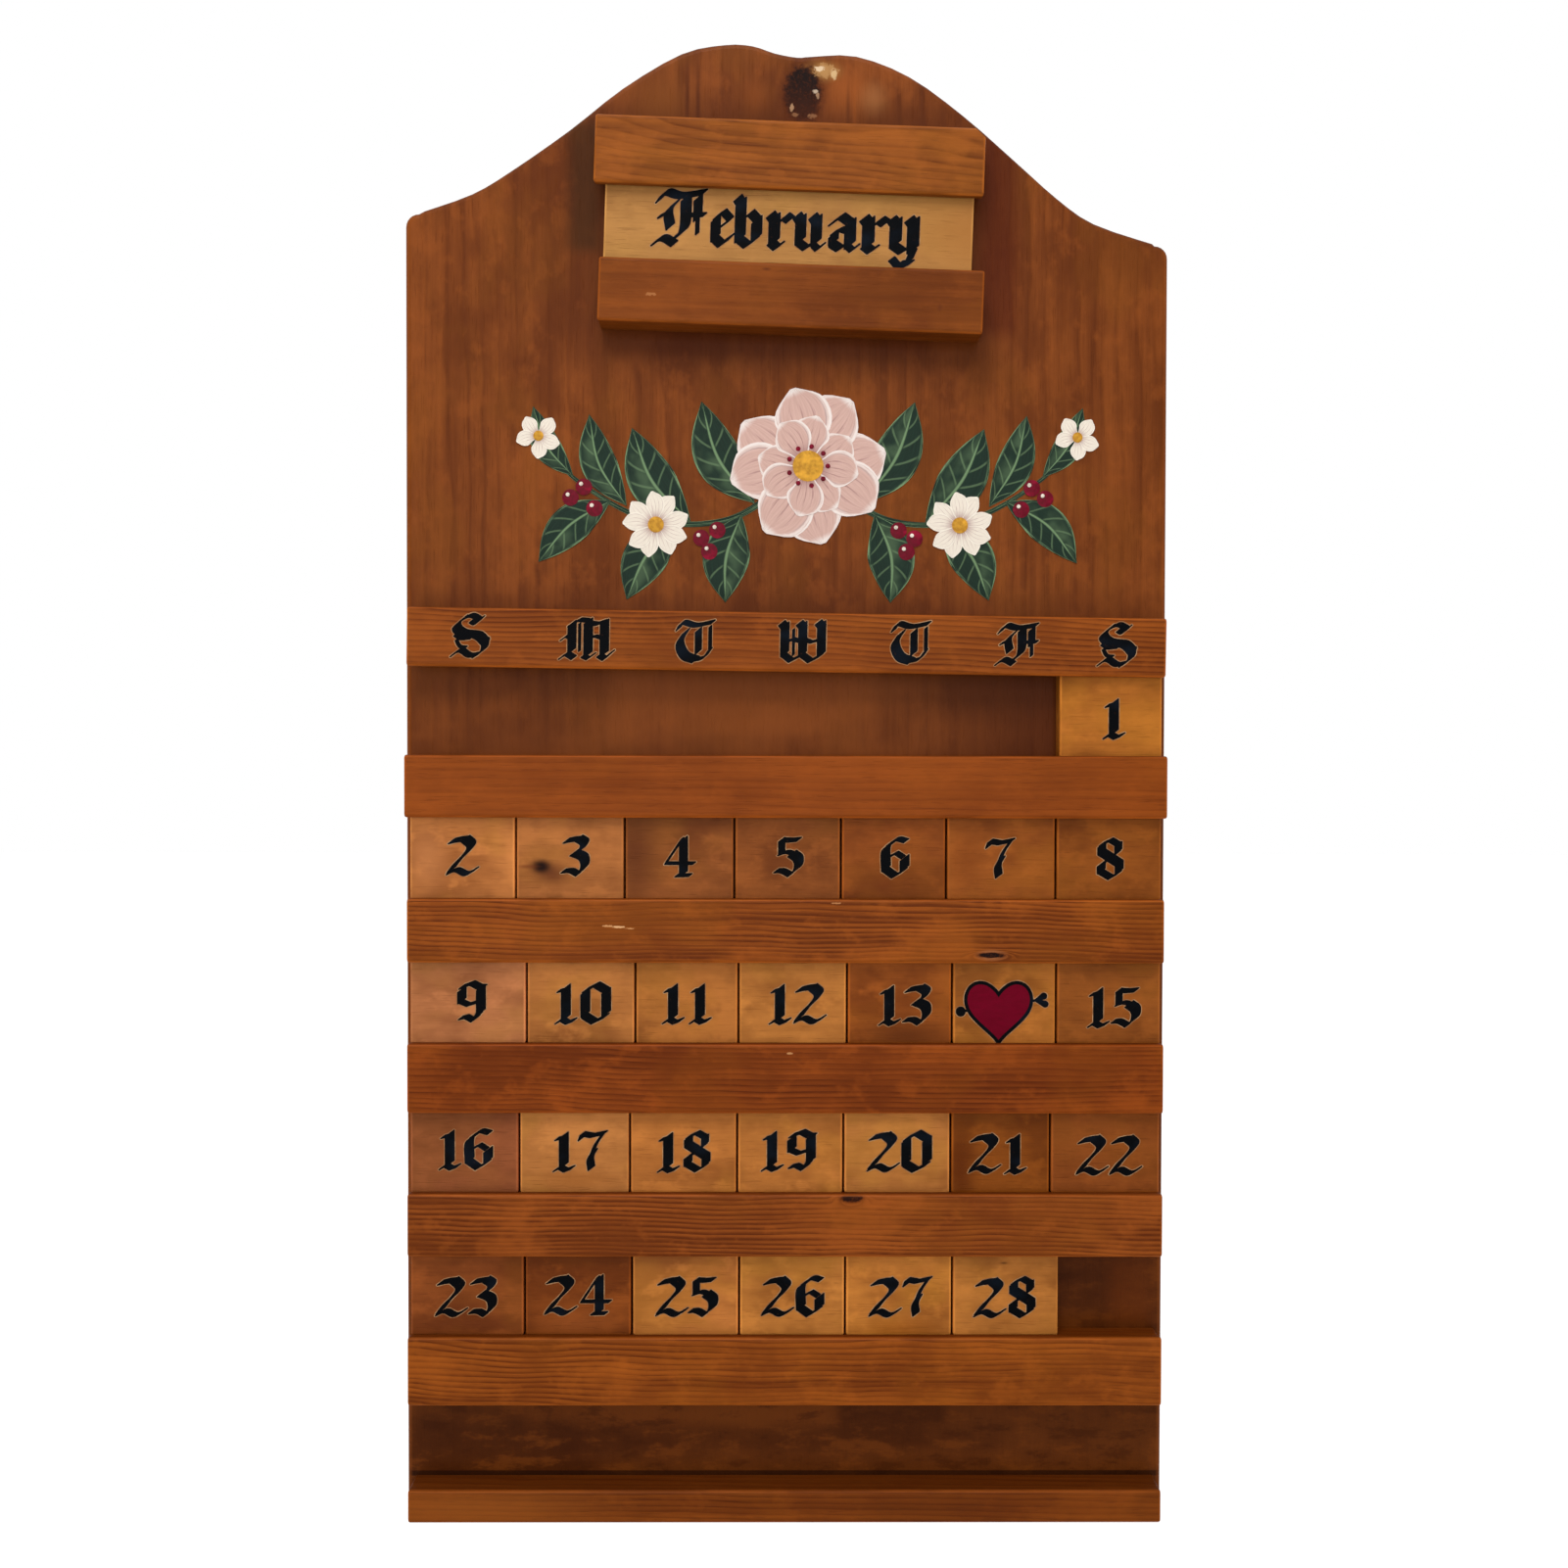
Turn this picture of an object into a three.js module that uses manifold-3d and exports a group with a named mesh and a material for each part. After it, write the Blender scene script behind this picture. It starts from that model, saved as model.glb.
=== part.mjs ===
// A wooden perpetual calendar that hangs on a wall. Rails are glued across a crested back board, and
// loose day tiles and a month plate slide between them. Millimetres, +Z up, +Y into the wall. The
// origin is the centre of the board's back face.
import * as THREE from 'three';
import { mergeVertices } from 'three/addons/utils/BufferGeometryUtils.js';
import Module from 'manifold-3d';

// Back board, from the foot up
const boardWidth = 285.75;
const boardThickness = 19;
const boardEasing = 2.2;
const shoulderRadius = 5;
const crestRise = 72;
const crestAboveMonthRail = 33.7;
const pictureHeight = 104.5;

// Rails
const railSetback = 3.175;
const railDepth = 12.7;
const railEasing = 1.3;
const railEndEasing = 0.7;
const lipThickness = 3.2;
const upperLip = 6.35;
const lowerLip = 1;
const glueLine = 0.1;
const weekdayRailHeight = 21.8;
const weekdayRailTiltDegrees = 0.75;
const weekRailHeight = 25;
const longRailOverhang = 0.9;
const ledgeHeight = 12.2;
const monthRailLength = 141.4;
const monthRailTiltDegrees = 1.9;
const lowerMonthRailHeight = 23.2;
const upperMonthRailHeight = 24.7;
const upperMonthRailOverhang = 0.8;
const upperMonthRailShift = -0.5;
const lowerMonthRailShift = 1.7;
const cornerTrimRun = 4.2;
const cornerTrimDrop = 3.7;

// Openings between the rails
const firstWeekOpening = 30.8;
const weekOpening = 29.9;
const lastWeekOpening = 31.5;
const monthOpening = 27.1;

// Day tiles and month plate
const placesInWeek = 7;
const heartDay = 14;
const tileGap = 0.8;
const tileThickness = 8.5;
const tileEasing = 0.7;
const tileCornerRadius = 0.9;
const monthPlateLength = 136;
const seatGap = 0.3;
const liftClearance = 2;

// Sawtooth hanger, let into the back
const hangerBelowTop = 40;
const hangerLength = 44;
const hangerHeight = 9;
const hangerThickness = 1;
const hangerCornerRadius = 2;
const hangerToothCount = 13;
const hangerToothPitch = 2.2;
const hangerToothDepth = 1.6;
const hangerNailInset = 4;
const hangerPocketDepth = 8;
const hangerPocketBelowStrip = 9;
const hangerPocketMargin = 1.5;
const nailLength = 10;
const nailShankRadius = 0.7;
const nailTipLength = 1.6;
const nailHeadRadius = 1.8;
const nailHeadThickness = 0.7;

// Cutters run this far past the face that they open
const cutOverrun = 1;
const boardArcSegments = 3;
const railArcSegments = 2;
const tileArcSegments = 2;
const hangerArcSegments = 4;
const nailSegments = 16;

// The crest as shares of the board's half width and of the crest's rise, from left to right. It is cut
// by hand, so its left shoulder is higher than its right, and a knot leaves a dip near the middle.
const crestShares = [
  [-0.95, 0.136], [-0.826, 0.224], [-0.726, 0.341], [-0.57, 0.557], [-0.432, 0.772],
  [-0.279, 0.951], [-0.165, 1], [-0.092, 0.995], [-0.033, 0.958], [0.026, 0.937],
  [0.064, 0.942], [0.18, 0.944], [0.32, 0.839], [0.463, 0.637], [0.597, 0.407],
  [0.709, 0.212], [0.805, 0.083], [0.96, -0.019],
];
const crestPointsPerSpan = 3;
const leftShoulderShare = 0.12;
const rightShoulderShare = -0.03;

// The week rails were ripped by hand, so each is a little off the nominal height
const weekRailHeightShares = [0.924, 0.948, 1.032, 0.936, 1.024];
const weekRailHeights = weekRailHeightShares.map((share) => share * weekRailHeight);

// Where the tiles of each week begin and end, in places from the rails' left end. They were sawn by
// hand, so their widths differ. The month starts on the last day of the week.
const tileEdgeShares = [
  [6.03, 7],
  [0, 0.99, 2, 3.02, 4.01, 4.99, 6.01, 7],
  [0, 1.09, 2.1, 3.06, 4.07, 5.05, 6.02, 7],
  [0, 1.02, 2.05, 3.05, 4.04, 5.04, 5.97, 7],
  [0, 1.07, 2.07, 3.07, 4.06, 5.06, 6.06],
];

// Levels above the board's foot, worked out from the heights and openings
const weekRailFeet = [];
let level = ledgeHeight + lastWeekOpening;
for (let i = weekRailHeights.length - 1; i >= 0; i -= 1) {
  weekRailFeet[i] = level;
  level += weekRailHeights[i] + (i > 0 ? weekOpening : firstWeekOpening);
}
const weekdayRailFoot = level;
const monthPlateLevel = weekdayRailFoot + weekdayRailHeight + pictureHeight + lowerMonthRailHeight;
const monthRailTop = monthPlateLevel + monthOpening + upperMonthRailHeight;
const boardHeight = monthRailTop + crestAboveMonthRail;
const shoulderLevel = boardHeight - crestRise;

// Places across and into the board
const railLength = boardWidth - 2 * railSetback;
const railBack = boardThickness + glueLine;
const grooveDepth = railDepth - lipThickness;
const placeWidth = railLength / placesInWeek;
const tileBack = boardThickness + seatGap;

// Finishes
const wood = (color, roughness = 0.5) => new THREE.MeshStandardMaterial({ color, roughness, metalness: 0 });
const boardWood = wood(0x7a4120);
const railWood = wood(0x93501f, 0.42);
const weekdayWood = wood(0x9a5426, 0.42);
const monthRailWood = wood(0x8e4f25, 0.42);
const plateWood = wood(0xbf8b50);
const tileWoods = {
  amber: wood(0xb87430, 0.45),
  rose: wood(0xb0744a, 0.45),
  brown: wood(0x95561f, 0.45),
};
const steel = new THREE.MeshStandardMaterial({ color: 0x8f8b84, roughness: 0.45, metalness: 0.9 });

// The tiles were cut from several boards, so their tones differ
const roseDays = [2, 3, 9];
const brownDays = [4, 5, 6, 7, 8, 13, 15, 16, 21, 22, 23, 24];

const calendar = new THREE.Group();
calendar.position.z = -boardHeight / 2;

// The month rails were fixed out of level, so they and the plate turn together about the plate's foot
const monthGroup = new THREE.Group();
monthGroup.position.z = monthPlateLevel;
monthGroup.rotation.y = THREE.MathUtils.degToRad(monthRailTiltDegrees);
calendar.add(monthGroup);

function addPiece(group, name, geometry, material, x, y, z) {
  const piece = new THREE.Mesh(geometry, material);
  piece.name = name;
  piece.position.set(x, y, z);
  group.add(piece);
  return piece;
}

// A rounded rectangle, its lower left corner at x, y
function roundedRectangle(x, y, width, height, radius) {
  const outline = new THREE.Shape();
  outline.moveTo(x + radius, y);
  outline.lineTo(x + width - radius, y);
  outline.absarc(x + width - radius, y + radius, radius, -Math.PI / 2, 0);
  outline.lineTo(x + width, y + height - radius);
  outline.absarc(x + width - radius, y + height - radius, radius, 0, Math.PI / 2);
  outline.lineTo(x + radius, y + height);
  outline.absarc(x + radius, y + height - radius, radius, Math.PI / 2, Math.PI);
  outline.lineTo(x, y + radius);
  outline.absarc(x + radius, y + radius, radius, Math.PI, Math.PI * 1.5);
  return outline;
}

// Extrudes an outline with its edges eased inwards, so it keeps its size, from 0 to its full depth
function easedExtrusion(outline, depth, easing, segments) {
  const geometry = new THREE.ExtrudeGeometry(outline, {
    depth: depth - 2 * easing,
    bevelThickness: easing,
    bevelSize: easing,
    bevelOffset: -easing,
    bevelSegments: segments,
    curveSegments: segments,
  });
  return geometry.translate(0, 0, easing);
}

// Turns an extrusion drawn in x and height so that its depth runs from the wall side to the front
function faceFront(geometry) {
  return geometry.rotateX(Math.PI / 2);
}

// Turns an extrusion drawn in depth and height so that its length runs along X, centred
function layAlongX(geometry, length) {
  const turn = new THREE.Matrix4().makeBasis(
    new THREE.Vector3(0, -1, 0),
    new THREE.Vector3(0, 0, 1),
    new THREE.Vector3(-1, 0, 0),
  );
  return geometry.translate(0, 0, -length / 2).applyMatrix4(turn);
}

// Boolean cuts, on solids whose shared corners are merged
const manifold = await Module();
manifold.setup();

function toSolid(geometry) {
  const bare = geometry.clone();
  bare.deleteAttribute('normal');
  bare.deleteAttribute('uv');
  const merged = mergeVertices(bare);
  return new manifold.Manifold(new manifold.Mesh({
    numProp: 3,
    vertProperties: new Float32Array(merged.attributes.position.array),
    triVerts: new Uint32Array(merged.index.array),
  }));
}

function cutAway(geometry, cutters) {
  let solid = toSolid(geometry);
  for (const cutter of cutters) {
    solid = solid.subtract(toSolid(cutter));
  }
  const mesh = solid.getMesh();
  const result = new THREE.BufferGeometry();
  result.setAttribute('position', new THREE.BufferAttribute(mesh.vertProperties, 3));
  result.setIndex(new THREE.BufferAttribute(mesh.triVerts, 1));
  result.computeVertexNormals();
  return result;
}

// Back board: straight sides, small rounded shoulders and the ogee crest
function boardOutline() {
  const half = boardWidth / 2;
  const left = shoulderLevel + crestRise * leftShoulderShare;
  const right = shoulderLevel + crestRise * rightShoulderShare;
  const crest = new THREE.SplineCurve(crestShares.map(
    ([across, up]) => new THREE.Vector2(across * half, shoulderLevel + up * crestRise),
  ));
  const outline = new THREE.Shape();
  outline.moveTo(-half, 0);
  outline.lineTo(half, 0);
  outline.lineTo(half, right - shoulderRadius);
  outline.absarc(half - shoulderRadius, right - shoulderRadius, shoulderRadius, 0, Math.PI / 2);
  for (const point of crest.getPoints((crestShares.length - 1) * crestPointsPerSpan).reverse()) {
    outline.lineTo(point.x, point.y);
  }
  outline.absarc(-half + shoulderRadius, left - shoulderRadius, shoulderRadius, Math.PI / 2, Math.PI);
  outline.lineTo(-half, 0);
  return outline;
}

// Sawtooth strip, its middle at 0, 0, teeth down, with a nail hole at each end
function hangerOutline() {
  const toothRun = hangerToothCount * hangerToothPitch;
  const foot = -hangerHeight / 2;
  const head = hangerHeight / 2;
  const end = hangerLength / 2;
  const outline = new THREE.Shape();
  outline.moveTo(-end + hangerCornerRadius, foot);
  outline.lineTo(-toothRun / 2, foot);
  for (let i = 0; i < hangerToothCount; i += 1) {
    const start = -toothRun / 2 + i * hangerToothPitch;
    outline.lineTo(start + hangerToothPitch / 2, foot + hangerToothDepth);
    outline.lineTo(start + hangerToothPitch, foot);
  }
  const radius = hangerCornerRadius;
  outline.lineTo(end - radius, foot);
  outline.absarc(end - radius, foot + radius, radius, -Math.PI / 2, 0);
  outline.absarc(end - radius, head - radius, radius, 0, Math.PI / 2);
  outline.absarc(-end + radius, head - radius, radius, Math.PI / 2, Math.PI);
  outline.absarc(-end + radius, foot + radius, radius, Math.PI, Math.PI * 1.5);
  for (const side of [-1, 1]) {
    const hole = new THREE.Path();
    hole.absarc(side * (end - hangerNailInset), 0, nailShankRadius + seatGap, 0, Math.PI * 2);
    outline.holes.push(hole);
  }
  return outline;
}

// The strip lies this far below the back face, under its nail heads
const hangerLevel = boardHeight - hangerBelowTop;
const nailHeadBack = seatGap;
const hangerBack = nailHeadBack + nailHeadThickness + seatGap;
const hangerSeatDepth = hangerBack + hangerThickness + seatGap;
const nailSpacing = hangerLength - 2 * hangerNailInset;

// A cutter that opens the back face down to a depth
function backCutter(outline, depth) {
  const geometry = new THREE.ExtrudeGeometry(outline, {
    depth: depth + cutOverrun,
    bevelEnabled: false,
    curveSegments: hangerArcSegments,
  });
  return faceFront(geometry.translate(0, 0, -cutOverrun));
}

function hangerCutters() {
  const seat = roundedRectangle(
    -hangerLength / 2 - seatGap,
    hangerLevel - hangerHeight / 2 - seatGap,
    hangerLength + 2 * seatGap,
    hangerHeight + 2 * seatGap,
    hangerCornerRadius,
  );
  const pocketWidth = hangerToothCount * hangerToothPitch;
  const pocketFoot = hangerLevel - hangerHeight / 2 - hangerPocketBelowStrip;
  const pocketHead = hangerLevel + hangerHeight / 2 - hangerPocketMargin;
  const pocket = roundedRectangle(
    -pocketWidth / 2,
    pocketFoot,
    pocketWidth,
    pocketHead - pocketFoot,
    hangerHeight / 2,
  );
  const cutters = [backCutter(seat, hangerSeatDepth), backCutter(pocket, hangerPocketDepth)];
  for (const side of [-1, 1]) {
    const pilot = new THREE.Shape();
    pilot.absarc(side * nailSpacing / 2, hangerLevel, nailShankRadius + seatGap, 0, Math.PI * 2);
    cutters.push(backCutter(pilot, nailHeadBack + nailHeadThickness + nailLength + seatGap));
  }
  return cutters;
}

const boardBlank = faceFront(easedExtrusion(boardOutline(), boardThickness, boardEasing, boardArcSegments));
addPiece(calendar, 'back_board', cutAway(boardBlank, hangerCutters()), boardWood, 0, 0, 0);

// Rail section in depth and height. A top step takes the tiles' feet and a bottom step their heads,
// and what is left in front is the lip that holds them in.
function railSection(height, topStep, bottomStep) {
  const section = new THREE.Shape();
  section.moveTo(0, bottomStep);
  if (bottomStep > 0) {
    section.lineTo(grooveDepth, bottomStep);
    section.lineTo(grooveDepth, 0);
  }
  section.lineTo(railDepth - railEasing, 0);
  section.absarc(railDepth - railEasing, railEasing, railEasing, -Math.PI / 2, 0);
  section.lineTo(railDepth, height - railEasing);
  section.absarc(railDepth - railEasing, height - railEasing, railEasing, 0, Math.PI / 2);
  if (topStep > 0) {
    section.lineTo(grooveDepth, height);
    section.lineTo(grooveDepth, height - topStep);
  }
  section.lineTo(0, height - topStep);
  section.lineTo(0, bottomStep);
  return section;
}

function railGeometry(length, height, topStep, bottomStep) {
  const section = railSection(height, topStep, bottomStep);
  return layAlongX(easedExtrusion(section, length, railEndEasing, railArcSegments), length);
}

// A wedge that takes a rail's upper right corner off, where it met the saw that cut the crest
function cornerTrim(length, height) {
  const end = length / 2;
  const wedge = new THREE.Shape();
  wedge.moveTo(end - 2 * cornerTrimRun, height + cornerTrimDrop);
  wedge.lineTo(end + cornerTrimRun, height - 2 * cornerTrimDrop);
  wedge.lineTo(end + cornerTrimRun, height + cornerTrimDrop);
  const geometry = new THREE.ExtrudeGeometry(wedge, {
    depth: railDepth + 2 * cutOverrun,
    bevelEnabled: false,
  });
  return faceFront(geometry.translate(0, 0, -cutOverrun));
}

const upperMonthRailLength = monthRailLength + 2 * upperMonthRailOverhang;
const upperMonthRail = cutAway(
  railGeometry(upperMonthRailLength, upperMonthRailHeight, 0, upperLip),
  [cornerTrim(upperMonthRailLength, upperMonthRailHeight)],
);
addPiece(
  monthGroup, 'month_rail_upper', upperMonthRail, monthRailWood, upperMonthRailShift, -railBack, monthOpening,
);
const lowerMonthRail = railGeometry(monthRailLength, lowerMonthRailHeight, lowerLip, 0);
addPiece(
  monthGroup,
  'month_rail_lower',
  lowerMonthRail,
  monthRailWood,
  lowerMonthRailShift,
  -railBack,
  -lowerMonthRailHeight,
);

const weekdayGeometry = railGeometry(railLength, weekdayRailHeight, 0, upperLip);
const weekdayRail = addPiece(
  calendar, 'weekday_rail', weekdayGeometry, weekdayWood, 0, -railBack, weekdayRailFoot,
);
weekdayRail.rotation.y = THREE.MathUtils.degToRad(weekdayRailTiltDegrees);

weekRailHeights.forEach((height, i) => {
  const length = i === 0 ? railLength + 2 * longRailOverhang : railLength;
  const rail = railGeometry(length, height, lowerLip, upperLip);
  addPiece(calendar, `week_rail_${i + 1}`, rail, railWood, 0, -railBack, weekRailFeet[i]);
});
const ledge = railGeometry(railLength, ledgeHeight, 0, 0);
addPiece(calendar, 'bottom_ledge', ledge, railWood, 0, -railBack, 0);

// A tile stands on the step behind the lower rail's lip, and its head reaches up behind the upper
// rail's lip, with room to be lifted over the lower lip
function slidingPiece(length, opening) {
  const height = opening + lowerLip + upperLip - seatGap - liftClearance;
  const outline = roundedRectangle(-length / 2, 0, length, height, tileCornerRadius);
  return faceFront(easedExtrusion(outline, tileThickness, tileEasing, tileArcSegments));
}

const monthPlate = slidingPiece(monthPlateLength, monthOpening);
addPiece(monthGroup, 'month_plate', monthPlate, plateWood, 0, -tileBack, seatGap - lowerLip);

function tileWood(day) {
  if (roseDays.includes(day)) {
    return tileWoods.rose;
  }
  return brownDays.includes(day) ? tileWoods.brown : tileWoods.amber;
}

let day = 1;
tileEdgeShares.forEach((edges, week) => {
  const foot = weekRailFeet[week] + weekRailHeights[week] - lowerLip + seatGap;
  for (let i = 0; i < edges.length - 1; i += 1) {
    const left = edges[i] * placeWidth - railLength / 2;
    const right = edges[i + 1] * placeWidth - railLength / 2;
    const tile = slidingPiece(right - left - tileGap, weekOpening);
    const name = day === heartDay ? 'tile_heart' : `tile_${String(day).padStart(2, '0')}`;
    addPiece(calendar, name, tile, tileWood(day), (left + right) / 2, -tileBack, foot);
    day += 1;
  }
});

// Hanger strip and its two nails
const strip = new THREE.ExtrudeGeometry(hangerOutline(), {
  depth: hangerThickness,
  bevelEnabled: false,
  curveSegments: hangerArcSegments,
});
addPiece(calendar, 'hanger_strip', faceFront(strip), steel, 0, -hangerBack, hangerLevel);

// Nail on the Y axis, its head at 0 and its point towards the front
function nailGeometry() {
  const profile = [
    [0, -nailHeadThickness - nailLength],
    [nailShankRadius, -nailHeadThickness - nailLength + nailTipLength],
    [nailShankRadius, -nailHeadThickness],
    [nailHeadRadius, -nailHeadThickness],
    [nailHeadRadius, 0],
    [0, 0],
  ];
  return new THREE.LatheGeometry(profile.map(([x, y]) => new THREE.Vector2(x, y)), nailSegments);
}

for (const [name, side] of [['hanger_nail_left', -1], ['hanger_nail_right', 1]]) {
  addPiece(calendar, name, nailGeometry(), steel, side * nailSpacing / 2, -nailHeadBack, hangerLevel);
}

export default calendar;
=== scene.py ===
import math
import random

import bpy
from bpy.props import FloatProperty, FloatVectorProperty, PointerProperty
from mathutils import Matrix, Vector
from mathutils.geometry import delaunay_2d_cdt


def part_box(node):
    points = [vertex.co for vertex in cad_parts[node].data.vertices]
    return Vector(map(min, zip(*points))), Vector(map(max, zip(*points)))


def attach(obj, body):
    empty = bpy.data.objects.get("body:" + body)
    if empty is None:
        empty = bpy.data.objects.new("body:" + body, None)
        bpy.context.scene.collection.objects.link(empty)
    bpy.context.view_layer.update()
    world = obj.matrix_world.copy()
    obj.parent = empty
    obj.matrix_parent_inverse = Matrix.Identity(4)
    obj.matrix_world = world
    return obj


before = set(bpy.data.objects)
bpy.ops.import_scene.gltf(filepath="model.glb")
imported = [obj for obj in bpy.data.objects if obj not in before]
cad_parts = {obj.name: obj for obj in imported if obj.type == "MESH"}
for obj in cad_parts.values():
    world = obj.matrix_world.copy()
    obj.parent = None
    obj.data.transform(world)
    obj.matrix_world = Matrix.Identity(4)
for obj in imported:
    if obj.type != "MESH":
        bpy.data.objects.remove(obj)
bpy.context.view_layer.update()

bl_info = {
    "name": "Wall calendar with day tiles",
    "version": (1, 0, 0),
    "blender": (4, 5, 0),
    "location": "3D View > Sidebar > Calendar",
    "description": "Stains the pine, paints the numbers and the garland, and sets the stage",
    "category": "Object",
}


def shade(code):
    """A colour written as six hex digits, as the linear numbers that a material takes."""
    values = [int(code[i:i + 2], 16) / 255 for i in (0, 2, 4)]
    return tuple(v / 12.92 if v <= 0.04045 else ((v + 0.055) / 1.055) ** 2.4 for v in values)


def colour(label, description, code):
    """A colour that a user can change."""
    return FloatVectorProperty(
        name=label, description=description, subtype="COLOR", size=3, min=0, max=1, default=shade(code))


def length(label, description, default):
    """A length that a user can change."""
    return FloatProperty(
        name=label, description=description, unit="LENGTH", subtype="DISTANCE", default=default)


class CalendarSizes(bpy.types.PropertyGroup):
    """The sizes of what is painted on the calendar"""

    number_height: length("Number height", "Height of the day numbers", 0.0160)
    letter_height: length("Letter height", "Height of the weekday letters", 0.0160)
    name_height: length("Name height", "Height of the capital of the month's name", 0.0215)
    paint_thickness: length("Paint thickness", "How far the paint stands on the wood", 0.00012)
    primer_edge: length("Primer edge", "Width of the pale primer that shows round a letter", 0.0003)
    vine_width: length("Vine width", "Width of the garland's stem", 0.0021)
    berry_radius: length("Berry radius", "Radius of a berry in the garland", 0.0031)
    # The worn line along an edge is also a painted highlight
    worn_edge: length("Worn edge", "Width of the worn line along an edge", 0.0009)


class CalendarColours(bpy.types.PropertyGroup):
    """The stains and paints of the calendar"""

    board: colour("Board", "Stain of the back board", "723a14")
    # The board in the rows is darker partly from stain and partly from painted shade
    board_bay: colour("Board in the rows", "Stain of the board behind the tiles", "542808")
    upper_month_rail: colour("Upper month rail", "Stain of the rail over the month plate", "804516")
    lower_month_rail: colour("Lower month rail", "Stain of the rail under the month plate", "723910")
    weekday_rail: colour("Weekday rail", "Stain of the rail with the weekday letters", "834212")
    month_plate: colour("Month plate", "Pale varnish of the month plate", "a5753f")
    knot: colour("Knot", "Heart of a knot", "120503")
    paint: colour("Lettering paint", "Paint of the numbers and letters", "050608")
    primer: colour("Primer", "Primer that shows round the lettering", "d0ab80")
    leaf: colour("Leaf", "Body of a leaf", "15291f")
    leaf_light: colour("Leaf light", "Light strokes on a leaf", "6f8a63")
    petal: colour("Petal", "Body of a petal", "c9a69b")
    petal_light: colour("Petal edge", "Pale edge of a petal", "ece1da")
    petal_vein: colour("Petal vein", "Veins of a petal", "84585a")
    white: colour("White", "White of the small daisies", "e6ddce")
    yellow: colour("Yellow", "Middle of a daisy", "c8922f")
    red: colour("Red", "Heart and berries", "6c021e")
    steel: colour("Steel", "Steel of the hanger", "8f8b84")


class Number:
    """A number in a material. Python's own signs on it add Math nodes."""

    def __init__(self, finish, socket):
        self.finish = finish
        self.socket = socket

    def maths(self, operation, *values):
        return self.finish.number("ShaderNodeMath", {"operation": operation}, dict(enumerate(values)))

    def __add__(self, other):
        return self.maths("ADD", self, other)

    def __radd__(self, other):
        return self.maths("ADD", other, self)

    def __sub__(self, other):
        return self.maths("SUBTRACT", self, other)

    def __rsub__(self, other):
        return self.maths("SUBTRACT", other, self)

    def __mul__(self, other):
        return self.maths("MULTIPLY", self, other)

    def __rmul__(self, other):
        return self.maths("MULTIPLY", other, self)

    def __truediv__(self, other):
        return self.maths("DIVIDE", self, other)

    def __abs__(self):
        return self.maths("ABSOLUTE", self)

    def most(self, other):
        return self.maths("MAXIMUM", self, other)

    def least(self, other):
        return self.maths("MINIMUM", self, other)

    def part(self):
        return self.maths("FRACT", self)

    def root(self):
        return self.maths("SQRT", self)

    def clear(self):
        """Kept between 0 and 1."""
        return self.most(0).least(1)

    def rise(self, start, stop):
        """0 below start, 1 above stop, with a smooth rise between them."""
        settings = {"interpolation_type": "SMOOTHSTEP"}
        values = {"Value": self, "From Min": start, "From Max": stop}
        return self.finish.number("ShaderNodeMapRange", settings, values)


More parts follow.
